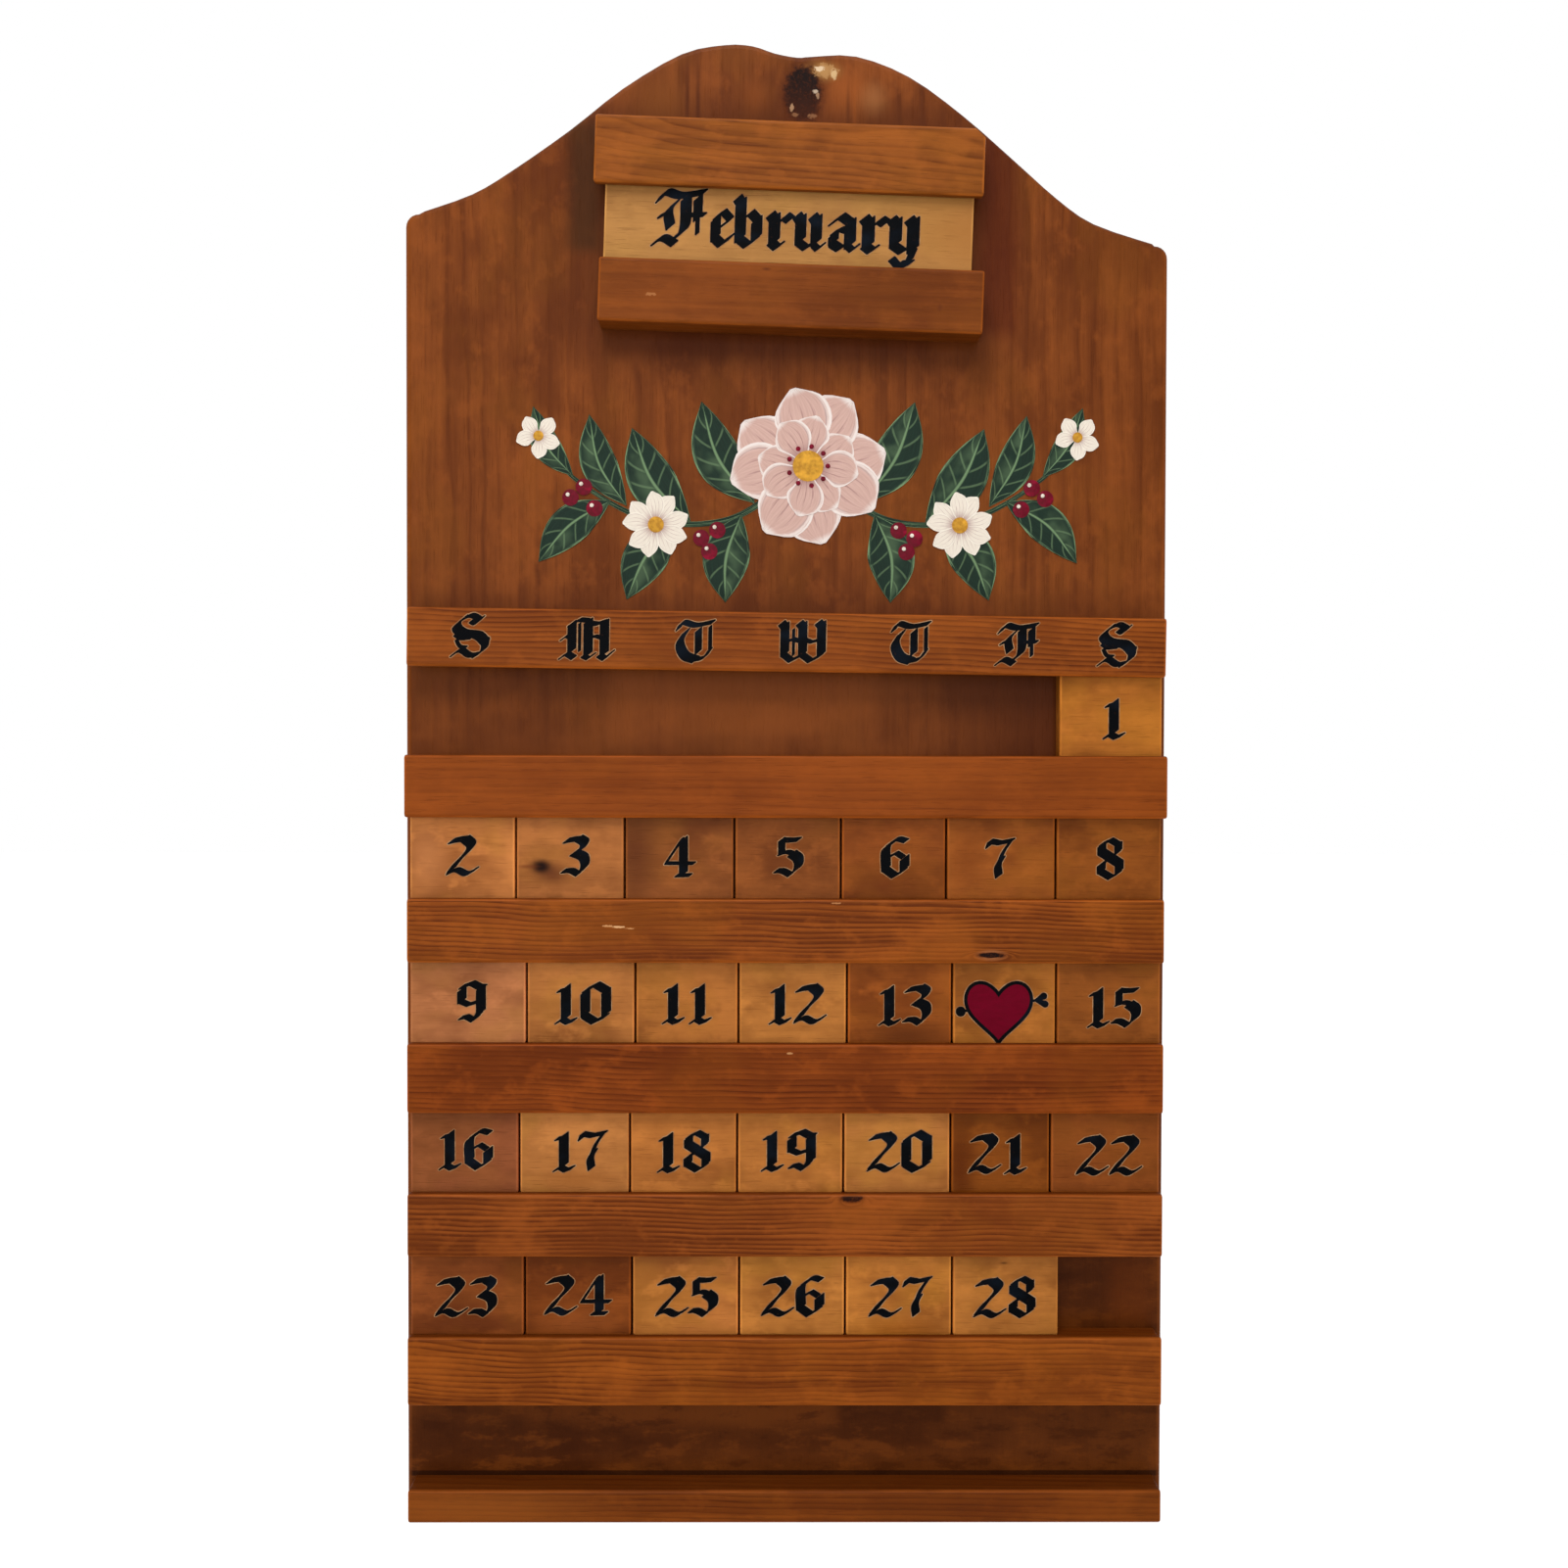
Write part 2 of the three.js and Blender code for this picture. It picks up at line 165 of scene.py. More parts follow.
class Finish:
    """One material and its nodes."""

    tint = None

    def __init__(self, name, **constants):
        self.material = bpy.data.materials.new(name)
        self.material.use_nodes = True
        self.nodes = self.material.node_tree.nodes
        self.links = self.material.node_tree.links
        self.shader = self.nodes["Principled BSDF"]
        for socket, value in constants.items():
            title = socket.replace("_", " ").title().replace("Ior", "IOR")
            self.shader.inputs[title].default_value = value

    def node(self, kind, settings=None, values=None):
        """A node of that type: its settings first, then the values or links of its sockets."""
        made = self.nodes.new(kind)
        for name, value in (settings or {}).items():
            if name == "stops":
                self.stops(made.color_ramp.elements, value)
            else:
                setattr(made, name, value)
        for name, value in (values or {}).items():
            self.feed(made.inputs[name], value)
        return made

    def stops(self, elements, stops):
        """The stops of a ramp, each a place and a grey level."""
        for place, level in stops[2:]:
            elements.new(place)
        for element, (place, level) in zip(elements, stops):
            element.position = place
            element.color = (level, level, level, 1)

    def feed(self, socket, value):
        if isinstance(value, Number):
            self.links.new(value.socket, socket)
        elif isinstance(value, bpy.types.NodeSocket):
            self.links.new(value, socket)
        elif socket.type == "RGBA":
            socket.default_value = (*value[:3], 1)
        else:
            socket.default_value = value

    def number(self, kind, settings, values):
        return Number(self, self.node(kind, settings, values).outputs[0])

    def mix(self, share, first, second):
        """A colour between two colours."""
        made = self.node("ShaderNodeMix", {"data_type": "RGBA"}, {0: share, 6: first, 7: second})
        return made.outputs[2]

    def lay(self, share, colour):
        """Lays a colour over the tint, as thickly as its share says."""
        self.tint = self.mix(share, self.tint, colour)

    def noise(self, place, sizes, shift=0, detail=2, roughness=0.5):
        """Noise from 0 to 1, with one size for all directions or one for each."""
        if not isinstance(sizes, tuple):
            sizes = (sizes, sizes, sizes)
        moved = {0: place, 1: sizes, 2: (shift, shift * 1.7, shift * 0.6)}
        spot = self.node("ShaderNodeVectorMath", {"operation": "MULTIPLY_ADD"}, moved).outputs[0]
        values = {"Vector": spot, "Scale": 1, "Detail": detail, "Roughness": roughness}
        return self.number("ShaderNodeTexNoise", {}, values)

    def axes(self, place):
        made = self.node("ShaderNodeSeparateXYZ", {}, {0: place})
        return [Number(self, made.outputs[i]) for i in range(3)]

    def local(self, middle=(0, 0, 0), turn=0):
        """The place on a piece from its own middle, with its turn about the line of sight taken out."""
        spot = self.node("ShaderNodeTexCoord").outputs["Object"]
        values = {"Vector": spot, "Location": middle, "Rotation": (0, turn, 0)}
        return self.node("ShaderNodeMapping", {"vector_type": "TEXTURE"}, values).outputs[0]

    def own_map(self):
        """How far along and how far across a brush stroke a point is, each from 0 to 1."""
        spot = self.node("ShaderNodeTexCoord").outputs["UV"]
        along, across = self.axes(spot)[:2]
        return spot, along, across

    def bump(self, height, distance, strength):
        values = {"Height": height, "Distance": distance, "Strength": strength}
        self.feed(self.shader.inputs["Normal"], self.node("ShaderNodeBump", {}, values).outputs[0])

    def surface(self, roughness=None):
        """The finished material, with the tint laid on so far."""
        self.feed(self.shader.inputs["Base Color"], self.tint)
        if roughness is not None:
            self.feed(self.shader.inputs["Roughness"], roughness)
        return self.material


def toned(stain, share):
    """A stain made lighter or darker; a darker one also turns redder."""
    if share >= 1:
        return tuple(min(1, v * share) for v in stain)
    return tuple(v * share ** power for v, power in zip(stain, (0.85, 1.1, 1.25)))


def stained(name, *shares):
    """One of the calendar's own colours, made lighter or darker by each share in turn."""
    stain = getattr(bpy.context.scene.calendar_colours, name)
    for share in shares:
        stain = toned(stain, share)
    return stain


def colour_of(tone):
    """The colour that a table gives as six hex digits, or as a stain's name and its shares."""
    return shade(tone) if isinstance(tone, str) else stained(*tone)


# The places and grey levels of a year ring, from the dark late wood of one to that of the next
ring_stops = ((0, 0.7), (0.08, 0.08), (0.4, 0.12), (0.75, 0.55), (0.93, 1), (1, 0.7))

# The depths behind a front face between which its marks fade out
front_band = (0.0006, 0.0016)

# How many times its own size a knot reaches into the rings, and how far it pushes them, as a share of
# its half width
knot_reach = 2.8
knot_push_share = 1.3


class Pine(Finish):
    """One piece of pine, sawn, stained and varnished. What is given for it replaces these usual values."""

    # Which way its grain runs, where it is, and its seed for all that is random
    grain = "x"
    middle = (0, 0, 0)
    turn = 0
    front = -1
    edges = None
    seed = 0

    # The tree's heart, across the grain and into the wood, and how its rings lie
    heart = (0.004, 0.030)
    ring_gap = 0.0032
    lean = 0.03
    wander = 0.010

    # How strongly each part of the wood and its wear shows, with the painted highlight on its edges and the
    # painted shade on its top faces
    ring_depth = 0.5
    streak_depth = 0.5
    fibre_depth = 0.4
    blotch_depth = 0.5
    edge_light = 0.95
    dusty = 0.75

    knots = ()
    marks = ()
    glints = ()

    def __init__(self, name, stain, **given):
        super().__init__(name, coat_weight=0.03, coat_roughness=0.25, specular_ior_level=0.045)
        self.stain = stain
        for key, value in given.items():
            setattr(self, key, value)
        self.place = self.local(self.middle, self.turn)
        self.x, self.y, self.z = self.axes(self.place)
        self.near_front = 1 - (self.y - self.front).rise(*front_band)
        rings = self.year_rings()
        fibres = self.grain_noise(35, 1200, 11, 2, 0.6)
        flecks = self.grain_noise(110, 2300, 13, 1).rise(0.63, 0.74)
        blotches = self.grain_noise(18, 30, 17, 4, 0.62)
        self.stain_grain(rings, fibres)
        self.restain(flecks * 0.3, 0.34)
        self.stain_blotches(blotches)
        for *spot, share, tone in self.marks:
            self.lay((self.near(spot) * self.near_front * share).clear(), colour_of(tone))
        if self.knots or self.glints:
            self.stain_knots()
        if self.edges:
            self.rub_edges()
        # Painted shade: faces that look up are made darker, as the light grazes them
        upward = self.axes(self.node("ShaderNodeNewGeometry").outputs["Normal"])[2]
        self.restain(upward.rise(0.5, 0.95) * self.dusty, 0.32)
        height = rings * 0.3 + fibres * 0.5 - flecks * 0.5 + blotches * 0.5
        self.bump(height, distance=0.0003, strength=0.5)
        self.rough = blotches * 0.16 + fibres * 0.1 + 0.36

    def grain_noise(self, along, across, shift, detail=2, roughness=0.5):
        """Noise with one size along the grain and one across it, moved by the piece's seed."""
        sizes = (along, across, across) if self.grain == "x" else (across, across, along)
        return self.noise(self.place, sizes, self.seed + shift, detail, roughness)

    def restain(self, share, tone):
        """Lays the piece's own stain over the tint, made lighter or darker."""
        self.lay(share, toned(self.stain, tone))

    def near(self, spot, reach=1):
        """How near a point is to a spot of its own width and height: 1 at its middle, 0 at its reach."""
        across, up, width, height = spot
        aside = (self.x - (across - self.middle[0])) / (width * reach)
        above = (self.z - (up - self.middle[2])) / (height * reach)
        return 1 - (aside * aside + above * above).root().rise(0, 1)

    def year_rings(self):
        """Year rings round the tree's heart, pushed aside by the knots."""
        along, across = (self.x, self.z) if self.grain == "x" else (self.z, self.x)
        bend = self.grain_noise(7, 20, 0, 3, 0.55) - 0.5
        aside = across - self.heart[0] + along * self.lean
        deep = self.y - self.heart[1]
        radius = (aside * aside + deep * deep).root() + bend * self.wander
        for *spot, _ in self.knots:
            radius = radius + self.near(spot, knot_reach) * spot[2] * knot_push_share
        phase = radius / self.ring_gap + self.grain_noise(4, 70, 3, 2) * 1.6
        return self.number("ShaderNodeValToRGB", {"stops": ring_stops}, {0: phase.part()})

    def stain_grain(self, rings, fibres):
        """The first stain, light and dark along the rings, streaks and fibres."""
        fading = self.grain_noise(9, 30, 5, 2).rise(0.3, 0.62)
        streaks = self.grain_noise(6, 230, 7, 3, 0.6)
        grainy = rings * (fading * 0.6 + 0.4) * self.ring_depth + (streaks - 0.5) * self.streak_depth * 3
        grainy = grainy + (fibres - 0.5) * self.fibre_depth
        self.tint = self.mix((grainy + 0.24).clear(), toned(self.stain, 1.32), toned(self.stain, 0.42))

    def stain_blotches(self, blotches):
        """Darker, lighter and golden places where the stain took unevenly."""
        depth = self.blotch_depth
        mottle = self.grain_noise(90, 130, 19, 3, 0.6)
        self.restain(blotches.rise(0.47, 0.66) * depth, 0.55)
        self.restain((1 - blotches.rise(0.34, 0.47)) * depth * 0.7, 1.55)
        self.restain(mottle.rise(0.5, 0.72) * depth * 0.5, 0.7)
        self.restain((1 - mottle.rise(0.3, 0.48)) * depth * 0.45, 1.6)
        golden = self.grain_noise(24, 34, 41, 3, 0.6).rise(0.48, 0.64)
        gold = [v * share for v, share in zip(self.stain, (1.12, 1.28, 0.8))]
        self.lay(golden * depth * 0.35, gold)

    def stain_knots(self):
        """Knots with ragged dark hearts, and glints of torn wood."""
        ragged = self.noise(self.place, 420, self.seed + 23, 4, 0.7) - 0.5
        crumbly = self.noise(self.place, 1100, self.seed + 24, 2, 0.7) - 0.5
        for *spot, share in self.knots:
            near = self.near(spot, 2)
            core = near + ragged * 0.7 * near.rise(0, 0.4)
            self.restain((core.rise(0.02, 0.6) * share).clear(), 0.36)
            heartwood = self.mix(crumbly.rise(0, 0.16) * 0.4, stained("knot"), toned(self.stain, 0.4))
            self.lay((core.rise(0.36, 0.6) * share).clear(), heartwood)
        for *spot, share, tone in self.glints:
            near = self.near(spot)
            near = near + (ragged + crumbly) * 1.6 * near.rise(0, 0.35)
            self.lay((near.rise(0.2, 0.6) * self.near_front * share).clear(), colour_of(tone))

    def rub_edges(self):
        """The pale line along the edges of the front: wear, and a painted highlight where the eased edges
        catch the light.
        """
        worn = bpy.context.scene.calendar_sizes.worn_edge
        width, height = self.edges
        edge = (abs(self.x) - (width / 2 - worn)).most(abs(self.z) - (height / 2 - worn)) / worn
        rubbed = self.noise(self.place, 40, self.seed + 29, 2).rise(0.32, 0.58)
        self.restain(edge.clear() * self.near_front * (rubbed * 0.7 + 0.3) * self.edge_light, 2.4)


def clad(node, material):
    """Puts a material on all of a CAD node."""
    node.data.materials.clear()
    node.data.materials.append(material)


def deselect():
    for thing in list(bpy.context.selected_objects):
        thing.select_set(False)


def box_middle(name):
    """The middle and the size of a node's box."""
    low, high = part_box(name)
    return (low + high) / 2, high - low


# How far the weekday rail and the month's block are turned, and the points that they turn about
weekday_turn = math.radians(0.75)
weekday_pivot = Vector((0, 0, 0.04035))
month_turn = math.radians(1.9)
month_pivot = Vector((0, 0, 0.18985))


def unturned_size(node, turn):
    """The width and height of a node's box before it was turned about the line of sight."""
    back = Matrix.Rotation(-turn, 3, "Y")
    spots = [back @ v.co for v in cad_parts[node].data.vertices]
    low = [min(s[i] for s in spots) for i in range(3)]
    high = [max(s[i] for s in spots) for i in range(3)]
    return high[0] - low[0], high[2] - low[2]


def sawn(node, turn=0):
    """The middle, turn and outline of a rail, plate or tile, for its wood."""
    middle, size = box_middle(node)
    edges = unturned_size(node, turn)
    return {"middle": tuple(middle), "turn": turn, "edges": edges, "front": -size.y / 2}


def near_box(across, up, width, height, reach):
    """1 on a rectangle's edge and inside it, fading to 0 at its reach."""
    out = (abs(across) - width / 2).most(0)
    over = (abs(up) - height / 2).most(0)
    return 1 - (out * out + over * over).root().rise(0, reach)


# Knots, marks and glints on the board: the middle across and up, half the width and height, the share, and
# for a mark or a glint its tone
board_knots = ((0.0056, 0.2566, 0.0062, 0.0096, 1.0),)
board_marks = (
    (0.0225, 0.2560, 0.0130, 0.0150, 0.8, ("board", 1.9)),
    (-0.0120, 0.2550, 0.0080, 0.0110, 0.6, ("board", 1.65)),
    (-0.0470, 0.2510, 0.0200, 0.0170, 0.75, "8c4e1c"),
    (0.0120, 0.2650, 0.0110, 0.0055, 0.8, "a87a40"),
    (-0.0374, 0.2540, 0.0014, 0.026, 0.8, ("board", 0.34)),
    (-0.0334, 0.2520, 0.0013, 0.022, 0.8, ("board", 0.36)),
    (0.0226, 0.2500, 0.0012, 0.016, 0.6, ("board", 0.5)),
    (0.0250, 0.2500, 0.0011, 0.014, 0.7, ("board", 2.1)),
    (0.0320, 0.2545, 0.0080, 0.0095, 0.6, "aa6c3c"),
    (0.0440, 0.2480, 0.0120, 0.008, 0.35, ("board", 0.55)))
board_glints = (
    (0.0140, 0.2652, 0.0075, 0.0044, 0.6, "b98c58"), (0.0118, 0.2660, 0.0034, 0.0016, 0.9, "dcc09c"),
    (0.0172, 0.2640, 0.0020, 0.0034, 0.8, "d2b080"), (0.0104, 0.2576, 0.0016, 0.0012, 0.9, "c8b098"),
    (0.0112, 0.2560, 0.0010, 0.0020, 0.8, "b08a6a"), (0.0016, 0.2516, 0.0012, 0.0026, 0.9, "c89c74"),
    (0.0030, 0.2488, 0.0022, 0.0014, 0.8, "b07c54"), (0.0094, 0.2484, 0.0030, 0.0016, 0.8, "b07c54"))

# Where the darker stain and painted shade of the board's rows and of its low rows fade out upwards, and
# where the darkening of the right end of the rows fades in, each between two places
rows_top = (0.036, 0.044)
low_rows_top = (-0.19, -0.15)
right_end = (0.045, 0.1)

# The painted shade and dark stain round the month's block, as how far it lies above the pivot, its width,
# height and reach, and the width of the board's pale rim, a painted highlight along its side edges
block_shade = (0.0143, 0.1414, 0.075, 0.024)
board_edge_highlight = 0.0022

# Stains and painted shades on the board's front, laid in this order: the middle across and up, the width
# (None for the whole board), the height, the reach, the share, the tone, and the part of the front that
# takes it
board_shades = (
    # Painted shade beside the month's block, left and right, and painted shadow under it
    (-0.0755, 0.222, 0.004, 0.040, 0.008, 0.6, "2e1c08", "front"),
    (0.0790, 0.205, 0.004, 0.066, 0.010, 0.6, "461002", "front"),
    (-0.008, 0.1650, 0.110, 0.004, 0.008, 0.35, "401404", "front"),
    (0, 0.051, None, 0.026, 0.012, 0.35, ("board", 0.5), "front"),
    (-0.018, 0.034, 0.075, 0.006, 0.025, 0.4, ("board", 1.75), "front"),
    # Painted shadow under the weekday rail at the right end of the first row
    (0.078, 0.036, 0.024, 0.010, 0.014, 0.45, ("board", 0.3), "front"),
    (0.015, -0.247, 0.07, 0.012, 0.03, 0.4, ("board_bay", 1.4), "low_rows"),
    (-0.106, 0.017, 0.024, 0.005, 0.014, 0.3, ("board", 0.4), "front"),
    (-0.040, -0.2400, 0.105, 0.006, 0.011, 0.55, ("board_bay", 2.2), "front"),
    (0, -0.2485, None, 0.003, 0.006, 0.6, ("board_bay", 0.5), "patches"),
    (-0.120, -0.255, 0.070, 0.006, 0.022, 0.6, ("board_bay", 0.5), "front"))
foot_shades = (
    # Painted shade in the corner where the board meets the ledge
    (0, -0.2624, None, 0.0014, 0.0006, 0.75, "1e0a03", "front"),
    # Painted shade inside the empty place at the end of the fifth row, lighter towards its right end
    (0.112, -0.191, 0.026, 0.016, 0.014, 0.35, ("board_bay", 0.5), "front"),
    (0.131, -0.193, 0.007, 0.015, 0.009, 0.4, ("board_bay", 0.5, 3.4), "front"),
    (0.041, -0.2375, 0.034, 0.008, 0.006, 0.7, ("board_bay", 0.5), "mottles"))


def lay_shades(wood, shades, parts, board_width):
    """Lays rectangles of stain and painted shade that fade out at their reach."""
    for across, up, width, height, reach, share, tone, part in shades:
        near = near_box(wood.x - across, wood.z - up, width or board_width, height, reach)
        wood.lay(near * parts[part] * share, colour_of(tone))


def stain_board(context):
    size = box_middle("back_board")[1]
    wood = Pine(
        "stained_board", stained("board"), grain="z", front=-size.y, seed=4, ring_gap=0.0062,
        ring_depth=0.42, heart=(-0.012, 0.034), lean=0.03, wander=0.020, streak_depth=0.45, fibre_depth=0.3,
        blotch_depth=0.8, dusty=0.5, knots=board_knots, marks=board_marks, glints=board_glints)
    front = wood.near_front
    patches = wood.noise(wood.place, (16, 16, 30), 31, 3, 0.6)
    mottles = wood.noise(wood.place, (60, 60, 150), 47, 4, 0.65)
    rows = front * (1 - wood.z.rise(*rows_top))
    low_rows = front * (1 - wood.z.rise(*low_rows_top))
    parts = {
        "front": front, "low_rows": low_rows, "patches": patches.rise(0.3, 0.6) * front,
        "mottles": mottles.rise(0.36, 0.52) * front}
    # The rows behind the tiles get a darker stain with painted shade from the rails, the low rows more,
    # darker towards the bottom
    wood.lay(rows * 0.42, stained("board", 0.72))
    bay = wood.mix(patches.rise(0.35, 0.65), stained("board_bay", 1.15), stained("board_bay", 0.7))
    wood.lay(low_rows * 0.72, bay)
    upper_rows = rows * (1 - low_rows)
    wood.lay(upper_rows * patches.rise(0.45, 0.68) * 0.6, stained("board", 1.4))
    wood.lay(upper_rows * wood.x.rise(*right_end) * 0.75, stained("board", 0.36))
    # Painted shade and dark stain round the month's block
    turned = wood.axes(wood.local(month_pivot, month_turn))
    lift, *block = block_shade
    wood.lay(near_box(turned[0], turned[2] - lift, *block) * front * 0.62, stained("board", 0.4))
    lay_shades(wood, board_shades, parts, size.x)
    wood.lay(low_rows * mottles.rise(0.5, 0.66) * 0.75, stained("board_bay", 1.75))
    wood.lay(low_rows * (1 - mottles.rise(0.34, 0.48)) * 0.6, stained("board_bay", 0.55))
    lay_shades(wood, foot_shades, parts, size.x)
    # Painted highlight: a pale rim along the board's side edges, where they catch the light
    rim = (abs(wood.x) - (size.x / 2 - board_edge_highlight)) / board_edge_highlight
    wood.lay(rim.clear() * 0.6, stained("board", 1.9))
    clad(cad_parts["back_board"], wood.surface(wood.rough))


# Each rail's stain, then how its rings lie and its knots and marks, with places in the model's frame
rail_woods = {
    "month_rail_upper": (("upper_month_rail",), dict(
        ring_gap=0.0021, ring_depth=0.8, heart=(0.022, 0.018), lean=0.09, wander=0.010, streak_depth=0.6,
        blotch_depth=0.7, seed=21)),
    "month_rail_lower": (("lower_month_rail",), dict(
        ring_gap=0.0040, ring_depth=0.25, heart=(0.004, 0.05), lean=0.02, wander=0.008, seed=25,
        marks=((-0.0079, 0.1872, 0.0026, 0.0009, 0.7, "4a1f0c"),
               (0.0560, 0.1755, 0.0014, 0.0022, 0.6, "5a2810")),
        glints=((-0.0500, 0.1765, 0.0032, 0.0011, 0.5, "b87a48"),))),
    "weekday_rail": (("weekday_rail",), dict(
        ring_gap=0.0018, ring_depth=0.9, heart=(-0.042, 0.016), lean=0.02, wander=0.008, seed=29)),
    "week_rail_1": ("813e0f", dict(
        ring_gap=0.0024, ring_depth=0.3, heart=(0.05, 0.03), lean=0.01, wander=0.005, streak_depth=0.25,
        blotch_depth=0.35, seed=33)),
    "week_rail_2": ("874412", dict(
        ring_gap=0.0016, ring_depth=1.3, heart=(0.052, 0.015), lean=0.02, wander=0.010, streak_depth=0.65,
        blotch_depth=0.65, seed=37,
        knots=((0.0758, -0.0640, 0.0042, 0.0009, 1.0),),
        marks=((0.0758, -0.0640, 0.0072, 0.0026, 1.0, "b4764a"),),
        glints=((-0.0655, -0.0534, 0.0034, 0.0006, 1.0, "c88e5a"),
                (-0.0615, -0.0538, 0.0038, 0.0007, 1.0, "d8a472"),
                (-0.0575, -0.0543, 0.0032, 0.0005, 1.0, "c08450"),
                (0.0190, -0.0449, 0.0034, 0.0005, 0.8, "b87c4c")))),
    "week_rail_3": ("7d3a0d", dict(
        ring_gap=0.0017, ring_depth=0.7, heart=(-0.045, 0.02), lean=0.02, wander=0.010, streak_depth=0.6,
        blotch_depth=0.8, seed=41, glints=((0.0015, -0.1004, 0.0017, 0.0006, 0.8, "c08a58"),))),
    "week_rail_4": ("854314", dict(
        ring_gap=0.0016, ring_depth=1.3, heart=(0.050, 0.02), lean=0.015, wander=0.010, streak_depth=0.65,
        blotch_depth=0.65, seed=45,
        knots=((0.0246, -0.1540, 0.0036, 0.0015, 0.9),))),
    "week_rail_5": ("884511", dict(
        ring_gap=0.0016, ring_depth=0.95, heart=(0.046, 0.03), lean=0.02, wander=0.012, streak_depth=0.65,
        blotch_depth=0.65, seed=49)),
    "bottom_ledge": ("74390d", dict(
        ring_gap=0.0018, ring_depth=0.6, heart=(0.04, 0.02), lean=0.02, wander=0.006, seed=53, dusty=0.58,
        marks=((-0.1100, -0.2700, 0.0700, 0.0140, 0.5, "96521c"),
               (0.0600, -0.2700, 0.0700, 0.0140, 0.4, "5e2a0a")))),
}


def stain_rails(context):
    turns = {"weekday_rail": weekday_turn, "month_rail_upper": month_turn, "month_rail_lower": month_turn}
    for name, (tone, given) in rail_woods.items():
        wood = Pine("stained_" + name, colour_of(tone), **sawn(name, turns.get(name, 0)), **given)
        clad(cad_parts[name], wood.surface(wood.rough))


tile_tones = (
    "a26022", "b47039", "9e6030", "834920", "82471d", "814216", "8d4c1a", "824616", "a96a40", "a56732",
    "9b5e29", "ac6d31", "8a4817", "9f6025", "834819", "844929", "a96c36", "ab692f", "a8682e", "ac6d34",
    "7e4210", "7c4016", "7e411a", "7b3e14", "b16d33", "b07031", "b3702f", "a3662c")

# Knots, darker and lighter places on some tiles, with places in the model's frame
tile_marks = {
    2: ((-0.1330, -0.0290, 0.0120, 0.0200, 0.6, "bd7846"),),
    3: ((-0.0868, -0.0345, 0.0110, 0.0060, 0.8, "5a2a14"),
        (-0.0906, -0.0318, 0.0062, 0.0044, 1.0, "2c1008"),
        (-0.0908, -0.0318, 0.0042, 0.0031, 1.0, "120502"),
        (-0.0960, -0.0318, 0.0070, 0.0012, 0.6, "6a3014")),
    4: ((-0.0560, -0.0280, 0.0140, 0.0340, 0.8, "562810"),),
    7: ((0.0670, -0.0280, 0.0100, 0.0200, 0.5, "7c3c10"),),
    13: ((0.0450, -0.0940, 0.0280, 0.0090, 0.9, "5e2c0a"),),
    17: ((-0.0780, -0.1490, 0.0240, 0.0070, 0.5, "9a5a24"),),
    21: ((0.0650, -0.1440, 0.0090, 0.0300, 0.9, "5a2602"),),
    24: ((-0.0770, -0.2020, 0.0220, 0.0080, 0.5, "8a481e"),),
    27: ((0.0410, -0.2045, 0.0240, 0.0070, 0.7, "965214"),),
    28: ((0.0815, -0.1795, 0.0022, 0.0007, 0.7, "3a1a0c"),),
}

heart_day = 14


def tile_name(day):
    return "tile_heart" if day == heart_day else "tile_%02d" % day


def stain_tiles(context):
    for day, tone in enumerate(tile_tones, 1):
        name = tile_name(day)
        chance = random.Random(day)
        wood = Pine(
            "varnished_" + name, shade(tone), **sawn(name),
            ring_gap=chance.uniform(0.003, 0.006), ring_depth=chance.uniform(0.08, 0.22),
            heart=(chance.uniform(-0.02, 0.02), chance.uniform(0.02, 0.06)), lean=chance.uniform(-0.1, 0.1),
            wander=0.005, streak_depth=0.14, fibre_depth=0.3, blotch_depth=0.9, edge_light=0.9,
            seed=60 + day * 5, marks=tile_marks.get(day, ()))
        clad(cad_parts[name], wood.surface(wood.rough))


plate_marks = ((0.075, 0.2040, 0.050, 0.030, 0.85, "9e6630"),)


def stain_plate(context):
    wood = Pine(
        "varnished_month_plate", stained("month_plate"), **sawn("month_plate", month_turn), ring_gap=0.006,
        ring_depth=0.10, heart=(0.03, 0.05), wander=0.006, streak_depth=0.12, fibre_depth=0.22,
        blotch_depth=0.45, edge_light=0.9, seed=230, marks=plate_marks)
    clad(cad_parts["month_plate"], wood.surface(wood.rough))


def finish_hanger(context):
    finish = Finish("hanger_steel", metallic=1, specular_ior_level=0.5)
    place = finish.local()
    rolled = finish.noise(place, (60, 60, 1400), 5, 3, 0.6)
    rusty = finish.noise(place, 700, 9, 2).rise(0.55, 0.8)
    finish.tint = finish.mix(rolled, stained("steel", 0.75), stained("steel", 1.1))
    finish.lay(rusty * 0.5, shade("6b4a2c"))
    finish.bump(rolled * 0.5 + rusty, distance=0.00008, strength=0.5)
    material = finish.surface(rolled * 0.2 + rusty * 0.25 + 0.28)
    for name in ("hanger_strip", "hanger_nail_left", "hanger_nail_right"):
        clad(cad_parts[name], material)


curved = True
straight = False

# The pen: its width and how round its corners are, as shares of a capital's height, and how it is held
nib_share = 0.24
hair_share = 0.016
nib_turn = math.radians(40)
corner_steps = 8

# Corners of paint closer than this are one, and their places are kept to so many digits
corner_gap = 1e-7
corner_digits = 7

